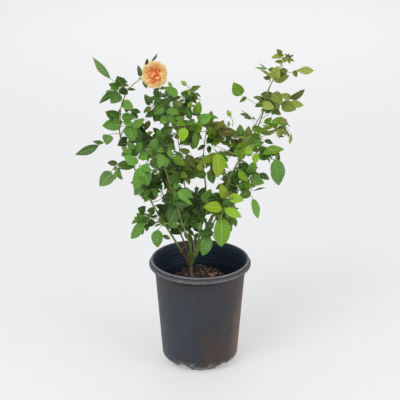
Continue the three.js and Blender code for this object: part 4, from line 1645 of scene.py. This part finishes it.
@dataclass
class Foliage:
    """Twigs, petioles and leaflets, grown on from the canes into every mass.

    Lengths are in metres. leaf_length, leaflet_width and pair_gap, the step between pairs of leaflets, are
    shares of the end leaflet's length, and leaflet_angle is in degrees.
    """

    canes: Canes
    twig: float = 1.1 * MM
    petiole: float = 0.65 * MM
    leaf_length: tuple[float, float] = (1.9, 2.4)
    leaflet_width: tuple[float, float] = (0.54, 0.68)
    leaflet_angle: tuple[float, float] = (50.0, 72.0)
    pair_gap: float = 0.62
    rear_canes: tuple[str, ...] = ("cane_back", "cane_back_left", "cane_back_right")
    rear_leaves: int = 9
    rear_from: float = 0.32
    rear_step: float = 0.07
    rear_reach: tuple[float, float] = (58 * MM, 74 * MM)
    rear_leaflet: tuple[float, float] = (26 * MM, 33 * MM)
    pieces: dict[Lot, Piece] = field(default_factory=dict)
    stand_ins: dict[Lot, list[str]] = field(default_factory=dict)
    forms: dict[Outline, Form] = field(init=False)
    tubes: dict[int, Form] = field(init=False)
    wood: Piece = field(init=False)

    def build(self) -> None:
        """Grows every mass, then joins the leaves by lot and the twigs into one piece."""
        self.forms = {outline: outline.form() for outline in (*PLAIN, BROAD, LANCE, SPOON)}
        self.tubes = {rings: Form.tube(5, rings) for rings in (3, 6, 9)}
        for lot, tints in LOTS.items():
            finishes = [self.finish(tint, number) for tint in tints for number in range(5)]
            self.pieces[lot], self.stand_ins[lot] = Piece(f"leaves_{lot.name.lower()}", finishes), []
        wood = [Tissue("green_twig", "#6f8a3c"), Tissue("red_petiole", "#8a6a3c"),
                Tissue("pale_petiole", "#93a552")]
        self.wood = Piece("twigs_and_petioles", [finish.material() for finish in wood])
        for name in sorted(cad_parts):
            if name.startswith(("foliage_", "spray_")) or name == "bloom":
                self.grow(Mass(name), PLANS.get(name, REAR_PLAN))
        for name in self.rear_canes:
            self.clothe(name)
        for lot, piece in self.pieces.items():
            piece.finished(lot.value, self.stand_ins[lot], sharp=70)
        self.wood.finished("green_bark", [], sharp=60)

    def clothe(self, name: str) -> None:
        """Grows leaves up a rear cane, which has longer bare lengths between its masses.

        Args:
            name: the cane's node.
        """
        rng = Random(f"leaves of {name}")
        path = self.canes.paths[name]
        for number in range(self.rear_leaves):
            share = self.rear_from + self.rear_step * number
            joint, tangent, side = path.at(share), path.at(share, path.tangents), path.at(share, path.sides)
            turn = number * GOLDEN_TURN + rng.uniform(-0.4, 0.4)
            out = around(side, np.cross(tangent, side), turn)
            ahead = unit(out + unit(tangent) * 0.5 + UP * 0.15)
            tip = joint + ahead * rng.uniform(*self.rear_reach)
            size = rng.uniform(*self.rear_leaflet)
            self.compound(joint, tip, UP + out * 0.4, size, rng.choice((DEEP, GREEN)), rng)

    def finish(self, tint: Tint, number: int) -> Material:
        """Builds the material for one of a tint's five colours.

        Args:
            tint: the tint.
            number: which of its colours.

        Returns:
            The material.
        """
        side = {RIB: "midrib", UNDER: "underside"}.get(number, f"upper_{number + 1}")
        gloss = GLOSS[tint] + (0.22 if number == UNDER else 0)
        relief = {RIB: 0.0, UNDER: 0.5}.get(number, 1.0)
        return LeafBlade(f"{tint.name.lower()}_leaf_{side}", tint.value[number], gloss, relief).material()

    def lot_of(self, tint: Tint) -> Lot:
        """The lot that a tint's leaves go to."""
        return next(lot for lot, tints in LOTS.items() if tint in tints)

    def grow(self, mass: Mass, plan: Plan) -> None:
        """Grows one mass: its stem, the leaves that follow the rule, then its listed leaflets.

        Args:
            mass: the mass.
            plan: how it is leaved.
        """
        rng = Random(f"{mass.name} {plan.seed}")
        stem = self.grow_stalk(mass, plan, rng) if plan.stalk else self.grow_twig(mass)
        for number in range(plan.leaves):
            self.grow_leaf(mass, plan, stem, number, rng)
        for number, row in enumerate(plan.blades):
            behind = mass.depth * (0.1 - 0.45 * (number + 0.5) / len(plan.blades))
            self.set_blade(mass, Blade(*row), behind, stem, rng)
        if mass.name != "bloom":
            self.stand_ins[Lot(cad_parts[mass.name].data.materials[0].name)].append(mass.name)

    def grow_stalk(self, mass: Mass, plan: Plan, rng: Random) -> Path:
        """Grows a spray's own stalk from the nearest cane.

        Args:
            mass: the mass.
            plan: its plan.
            rng: its random stream.

        Returns:
            The stalk's line.
        """
        knots = [mass.spot(share, rng.uniform(-3, 3) * MM) for share in plan.stalk]
        joint, _, _ = self.canes.nearest(knots[0], below=knots[0][2] + 8 * MM)
        return self.stick([joint, *knots], self.petiole * 1.6, self.petiole, 2, 9)

    def grow_twig(self, mass: Mass) -> Path:
        """Grows a twig from the nearest cane up through a mass's middle.

        Args:
            mass: the mass.

        Returns:
            The twig's line.
        """
        joint, heading, _ = self.canes.nearest(mass.centre, below=mass.centre[2] + 10 * MM)
        away = mass.centre - joint
        top = mass.centre * 0.45 + mass.shell(unit(UP * 0.8 + unit(away) * 0.6)) * 0.55
        knots = [joint, joint + heading * 12 * MM + away * 0.3, mass.centre - UP * 8 * MM, top]
        return self.stick(knots, self.twig * 1.3, self.twig * 0.7, 0, 9)

    def grow_leaf(self, mass: Mass, plan: Plan, stem: Path, number: int, rng: Random) -> None:
        """Grows one compound leaf of a mass, from the stem to its own share of the space.

        Args:
            mass: the mass.
            plan: its plan.
            stem: the line that the leaf's petiole grows from.
            number: which leaf it is.
            rng: the mass's random stream.
        """
        height = 1 - 2 * (number + 0.5) / plan.leaves
        turn = number * GOLDEN_TURN + rng.uniform(0, 0.8)
        level = math.sqrt(1 - height * height)
        out = np.array([level * math.cos(turn), level * math.sin(turn), height])
        middle = mass.centre + (mass.shell(out) - mass.centre) * 0.55
        if plan.blades:
            middle = mass.held(middle - FRONT * mass.depth * 0.14, 0)
        swing = unit(np.array([rng.gauss(0, 1), rng.gauss(0, 0.6), rng.gauss(0, 0.8)]))
        ahead = unit(out * 0.6 + swing * 0.75 - UP * 0.2)
        length = plan.leaflet * MM * rng.uniform(*self.leaf_length)
        tip = mass.held(middle + ahead * length * 0.55)
        base = mass.held(tip - ahead * length, 0)
        joint = stem.points[np.linalg.norm(stem.points - base, axis=1).argmin()]
        if np.linalg.norm(joint - base) > 3 * MM:
            middle = (joint + base) / 2 + UP * 2 * MM
            self.stick([joint, middle, base], self.petiole * 1.2, self.petiole, 0, 3)
        outward = unit(mass.centre * [1, 1, 0])
        front = FRONT if mass.centre[1] < 60 * MM else np.zeros(3)
        top = outward * 0.6 + front * 0.75 + UP * 0.85 + out * 0.3
        top = unit(top) + np.array([rng.gauss(0, 0.25) for _ in range(3)])
        size = plan.leaflet * MM * rng.uniform(0.85, 1.15)
        self.compound(base, tip, top, size, rng.choice(plan.tints), rng)

    def compound(self, base: Array, tip: Array, top: Array, size: float, tint: Tint, rng: Random) -> None:
        """Grows one compound leaf: a rachis with a leaflet at its end and others in pairs.

        Args:
            base: where the petiole joins its twig.
            tip: the end leaflet's tip.
            top: where the leaf's upper side faces.
            size: the end leaflet's length in metres.
            tint: its tint.
            rng: the mass's random stream.
        """
        reach = tip - base
        length = float(np.linalg.norm(reach))
        ahead = unit(reach)
        size = min(size, 0.52 * length)
        top = unit(top - ahead * top.dot(ahead))
        arch = top * length * rng.uniform(0.08, 0.16)
        hinge = tip - unit(reach - UP * length * 0.12) * size
        rachis = self.stick([base, base + reach * 0.3 + arch, hinge], self.petiole, self.petiole * 0.6,
                            rng.choice((0, 1, 2)), 6)
        tone = rng.choices((0, 1, 2), (4, 5, 2))[0]
        shape = rng.uniform(*self.leaflet_width)
        self.leaflet(rng.choice(PLAIN), hinge, tip - hinge + arch * 0.4, top, size, size * shape, tint, tone,
                     rng.uniform(0.1, 0.6), rng.uniform(-0.3, 0.3))
        pairs = 3 if rachis.length > 1.9 * size else 2 if rachis.length > 0.95 * size else 1
        for pair in range(pairs):
            back = size * self.pair_gap * pair
            share = 0.95 - 0.72 * back / max(rachis.length, back, 1e-3)
            if share < 0.28:
                continue
            spot, heading = rachis.at(share), unit(rachis.at(share, rachis.tangents))
            for hand in (-1, 1):
                side = np.cross(top, heading) * hand
                spread = math.radians(rng.uniform(*self.leaflet_angle))
                along = around(heading, side, spread) - UP * rng.uniform(0, 0.25)
                face = top + side * rng.uniform(-0.25, 0.35) + UP * 0.1
                part = size * (0.88 - 0.12 * pair) * rng.uniform(0.88, 1.08)
                shade = min(2, max(0, tone + rng.choice((-1, 0, 0, 1))))
                self.leaflet(rng.choice(PLAIN), spot + along * 1.5 * MM, along, face, part,
                             part * rng.uniform(0.54, 0.66), tint, shade, rng.uniform(0.1, 0.7),
                             rng.uniform(-0.3, 0.3))

    def set_blade(self, mass: Mass, blade: Blade, behind: float, stem: Path, rng: Random) -> None:
        """Sets one listed leaflet, on a petiole from its mass's stem or from the nearest cane.

        Args:
            mass: the mass that it belongs to.
            blade: where it is seen and how it looks.
            behind: how far behind the mass's middle plane its base is, in metres.
            stem: the mass's own stalk or twig.
            rng: the mass's random stream.
        """
        base, tip = mass.spot(blade.base, behind), mass.spot(blade.tip, behind - 3 * MM)
        seen = float(np.linalg.norm(tip - base))
        towards = unit(EYE - base)
        wide, full = blade.width * seen * 1.18, blade.outline.full
        if wide > full * seen:
            tip = tip + towards * math.sqrt((wide / full) ** 2 - seen**2)
            turned = 0.0
        else:
            flat = math.sqrt(wide / (full * seen))
            wide, turned = wide / flat, math.acos(flat)
        ahead = unit(tip - base)
        length = float(np.linalg.norm(tip - base))
        top = unit(towards - ahead * towards.dot(ahead))
        side = np.cross(top, ahead)
        hand = (1 if side[2] > 0 else -1) * rng.choice((1, 1, 1, -1))
        top = around(top, side * hand, turned)
        top = unit(top + np.array([rng.gauss(0, 0.1) for _ in range(3)]))
        sag = rng.uniform(0.15, 0.5)
        self.leaflet(blade.outline, base, unit(ahead + top * sag * 0.45), top, length * (1 + sag**2 / 20),
                     wide, blade.tint, blade.tone, sag, rng.uniform(-0.15, 0.15))
        on_stem = stem.points[np.linalg.norm(stem.points - base, axis=1).argmin()]
        on_cane, _, _ = self.canes.nearest(base)
        joint = min((on_stem, on_cane), key=lambda spot: float(np.linalg.norm(spot - base)))
        gap = float(np.linalg.norm(joint - base))
        if gap > 2 * MM:
            knee = (joint + base) / 2 - ahead * gap * 0.15 + UP * gap * 0.08
            self.stick([joint, knee, base], self.petiole, self.petiole * 0.75, rng.choice((0, 2)), 3)

    def leaflet(self, outline: Outline, base: Array, along: Array, top: Array, length: float,
                width: float, tint: Tint, tone: int, curl: float, twist: float) -> None:
        """Adds one leaflet.

        Args:
            outline: its outline.
            base: where it begins.
            along: the direction it sets off in.
            top: where its upper side faces, about square to along.
            length: its length in metres.
            width: its width in metres.
            tint: its tint.
            tone: which of the tint's upper tones it takes.
            curl: how far its tip bends down, in radians.
            twist: how far it turns about its midrib by its tip, in radians.
        """
        form = self.forms[outline]
        along = unit(along)
        top = unit(top - along * top.dot(along))
        side = np.cross(top, along)
        x, y, z = form.points.T
        curl = curl if abs(curl) > 1e-3 else 1e-3
        bend, roll = curl * x, twist * x
        sway = math.sin(99 * curl) * 0.16 * length * x * (1 - x)
        wide = (y * np.cos(roll) - z * np.sin(roll)) * width + sway
        rise = (y * np.sin(roll) + z * np.cos(roll)) * width
        ahead = length * np.sin(bend) / curl + rise * np.sin(bend)
        high = length * (np.cos(bend) - 1) / curl + rise * np.cos(bend)
        points = base + np.outer(ahead, along) + np.outer(high, top) + np.outer(wide, side)
        lot = self.lot_of(tint)
        slots = np.where(form.slots == 0, tone, form.slots) + 5 * LOTS[lot].index(tint)
        self.pieces[lot].join(form, points, slots)

    def stick(self, knots: list[Array], start: float, end: float, kind: int = 0, rings: int = 6) -> Path:
        """Adds a thin stem.

        Args:
            knots: the points that it passes.
            start: its radius where it begins.
            end: its radius at its tip.
            kind: which young wood it is.
            rings: how many lengths its tube is made of.

        Returns:
            The stem's line.
        """
        path = Path(knots, 4)
        form = self.tubes[rings]
        self.wood.join(form, form.swept(path, start, end), kind)
        return path


# ---- Bloom ----


@dataclass
class Bloom:
    """A full rosette of ruffled petals over a low dome, cream outside and deep orange in its hollows.

    Lengths are in millimetres. reach is how far petals stand out across the bloom and along its axis. kinds
    are the shares of the way out at which they turn from ember to orange, apricot and cream. Their claws
    meet at claws_behind the middle, and heart is the radius of the dome of claws that fills it.
    """

    petals: int = 124
    reach: tuple[float, float] = (37.0, 20.0)
    widths: tuple[float, float] = (8.5, 29.0)
    rise: float = 1.2
    claws_behind: float = 14.0
    opening: float = math.radians(100)
    heart: float = 17.0
    kinds: tuple[float, ...] = (0.55, 0.38, 0.23)
    ruffles: tuple[float, ...] = (0.05, 0.11, 0.18)
    sepals: int = 5
    seed: int = 12

    def build(self) -> None:
        """Sets the petals round the axis of the CAD node's dome, with a calyx behind them."""
        low, high = (np.array(corner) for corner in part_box("bloom"))
        corners = corners_of("bloom")
        _, _, axes = np.linalg.svd(corners - corners.mean(axis=0))
        axis = axes[2] * (-1 if axes[2][1] > 0 else 1)
        side = unit(np.cross(UP, axis))
        above = np.cross(axis, side)
        centre = (low + high) / 2 + UP * self.rise * MM
        heel = centre - axis * self.claws_behind * MM
        wide, deep = self.reach
        petals = Piece("bloom_petals", [
            Petal("cream_petal", "#fff2c8", "#fde4b0", "#f4c88c").material(),
            Petal("apricot_petal", "#ffeebc", "#fbd494", "#f0a650").material(),
            Petal("orange_petal", "#ffe8ae", "#f8c068", "#e88a34").material(),
            Petal("ember_petal", "#ffdc9c", "#f0a24a", "#d45814").material(),
        ])
        forms = [self.petal(ruffle) for ruffle in self.ruffles]
        rng = Random(self.seed)
        for number in range(self.petals, 0, -1):
            share = math.sqrt((number - 0.5) / self.petals)
            out = around(side, above, number * GOLDEN_TURN + rng.uniform(-0.3, 0.3))
            tilt = self.opening * share
            reach = axis * math.cos(tilt) * deep + out * math.sin(tilt) * wide
            tip = centre + reach * rng.uniform(0.93, 1.03) * MM
            base = heel + (tip - heel) * 0.4 * (1 - share**4)
            along = unit(tip - base)
            inner = unit(axis * share - out * (1.1 - share))
            inner = around(inner, np.cross(along, inner), rng.gauss(0, 1.5 * (1 - share)))
            length = float(np.linalg.norm(tip - base))
            width = (self.widths[0] + self.widths[1] * share**1.6) * MM
            kind = sum(share + rng.gauss(0, 0.07) < limit for limit in self.kinds)
            form = rng.choice(forms)
            points = self.bent(form, base, along, inner, length, width, rng.uniform(0.2, 0.5) + 0.3 * share)
            petals.join(form, points, kind)
        heart = Form.tube(12, 9)
        run = Path([heel + axis * 2 * MM, heel + axis * 24 * MM], 4)
        petals.join(heart, heart.swept(run, self.heart * MM, self.heart * MM, self.dome), 3)
        petals.finished("petals", ["bloom"], sharp=120)
        self.calyx(heel, axis, side, above)

    def dome(self, share: Array, angle: Array) -> Array:
        """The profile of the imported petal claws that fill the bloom's middle."""
        return np.sqrt(np.clip(1 - (2 * share - 1) ** 2, 0.003, 1)) + 0 * angle

    def petal(self, ruffle: float) -> Form:
        """Models a cupped petal, 1 long along +X and 1 wide, as a thin closed sheet with its inside up.

        Args:
            ruffle: how deep the waves in its rim are.

        Returns:
            The petal.
        """
        bm = bmesh.new()
        bmesh.ops.create_grid(bm, x_segments=6, y_segments=6, size=0.5)
        for vert in bm.verts:
            share, out = vert.co.x + 0.5, vert.co.y * 2
            half = 0.5 * math.sin(0.35 + 1.55 * share)
            rim = share - 0.2 * out * out * share
            cup = 0.3 * out * out * share * (1 - 0.4 * share)
            wave = ruffle * share**2 * math.sin(2.2 * out + 1)
            vert.co = (rim, out * half, cup + wave)
        return Form.sheet(bm)

    def bent(self, form: Form, base: Array, along: Array, inner: Array, length: float,
             width: float, curl: float) -> Array:
        """Bends a petal and sets it in place.

        Args:
            form: the petal's form.
            base: its claw.
            along: the direction it grows in.
            inner: where its inside faces.
            length: its length in metres.
            width: its width in metres.
            curl: how far its rim bends inwards, in radians.

        Returns:
            The petal's points.
        """
        inner = unit(inner - along * inner.dot(along))
        side = np.cross(inner, along)
        x, y, z = form.points.T
        bend = curl * x**1.5
        ahead = length * x * np.cos(bend * 0.6) - z * width * np.sin(bend)
        rise = length * x * np.sin(bend * 0.6) + z * width * np.cos(bend)
        return base + np.outer(ahead, along) + np.outer(rise, inner) + np.outer(y * width, side)

    def calyx(self, heel: Array, axis: Array, side: Array, above: Array) -> None:
        """Adds the green hip behind the petals and its five sepals, bent back.

        Args:
            heel: the petals' base.
            axis: where the bloom faces.
            side: square to the axis, across.
            above: square to both.
        """
        green = Piece("calyx", [Tissue("sepal", "#5e7d34").material()])
        hip = Form.tube(10, 6)
        run = Path([heel - axis * 7 * MM, heel + axis * 3 * MM], 4)
        green.join(hip, hip.swept(run, 5 * MM, 6 * MM, lambda share, _: np.sin(0.35 + 2.2 * share) ** 0.7))
        sepal = LANCE.form()
        for number in range(self.sepals):
            out = around(side, above, math.tau * number / self.sepals + 0.4)
            points = self.bent(sepal, heel + out * 4 * MM, unit(out - axis * 0.25), axis, 24 * MM, 7 * MM,
                               -0.5)
            green.join(sepal, points)
        green.finished("green_leaves", [], sharp=70)


# ---- Buds ----


@dataclass(frozen=True)
class Bud:
    """A flower bud: a mass's node, its stalk's foot and its top as shares of that mass's box."""

    node: str
    foot: tuple[float, float]
    top: tuple[float, float]
    size: float = 4.2


@dataclass
class Buds:
    """Young flower buds on long thin stalks, with sepals that come to a point."""

    buds: tuple[Bud, ...] = (
        Bud("foliage_top", (0.02, 0.72), (-0.17, 0.97), 5.0),
        Bud("foliage_top", (0.5, 0.87), (0.35, 1.0), 6.0),
        Bud("foliage_centre_right", (0.82, 0.86), (0.74, 1.24), 6.4),
        Bud("foliage_centre_right", (0.13, 0.85), (0.15, 1.06), 3.6),
    )

    def build(self) -> None:
        """Grows each bud on its stalk."""
        knobs = Piece("flower_buds", [Tissue("green_bud", "#93b53c").material()])
        form = Form.tube(8, 9)
        stalk_form = Form.tube(5, 9)
        for bud in self.buds:
            mass = Mass(bud.node)
            foot, top = mass.spot(bud.foot), mass.spot(bud.top)
            bow = np.array([unit(top - foot)[2], 0, 0]) * 0.12 * np.linalg.norm(top - foot)
            stalk = Path([foot, (foot + top) / 2 + bow, top], 6)
            knobs.join(stalk_form, stalk_form.swept(stalk, 1.0 * MM, 0.9 * MM))
            ahead = unit(stalk.tangents[-1])
            knob = Path([top - ahead * bud.size * 0.4 * MM, top + ahead * bud.size * 2.4 * MM], 4)
            knobs.join(form, form.swept(knob, bud.size * MM, bud.size * MM, self.swell))
        knobs.finished("lime_leaves", [], sharp=70)

    def swell(self, share: Array, angle: Array) -> Array:
        """The bud's profile: a round hip, a waist, a full bud and a fine point."""
        return np.interp(share, (0, 0.1, 0.25, 0.35, 0.55, 0.8, 1), (0.25, 0.6, 0.85, 0.75, 0.95, 0.4, 0.06))


# ---- The whole bush ----


def main() -> None:
    """Builds the studio and the bush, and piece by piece."""
    logging.basicConfig(level=logging.INFO, format="%(message)s")
    Studio().build()
    Pot().build()
    PottingMix().build()
    canes = Canes()
    canes.trace()
    canes.build()
    Foliage(canes).build()
    Bloom().build()
    Buds().build()


if __name__ == "__main__":
    main()
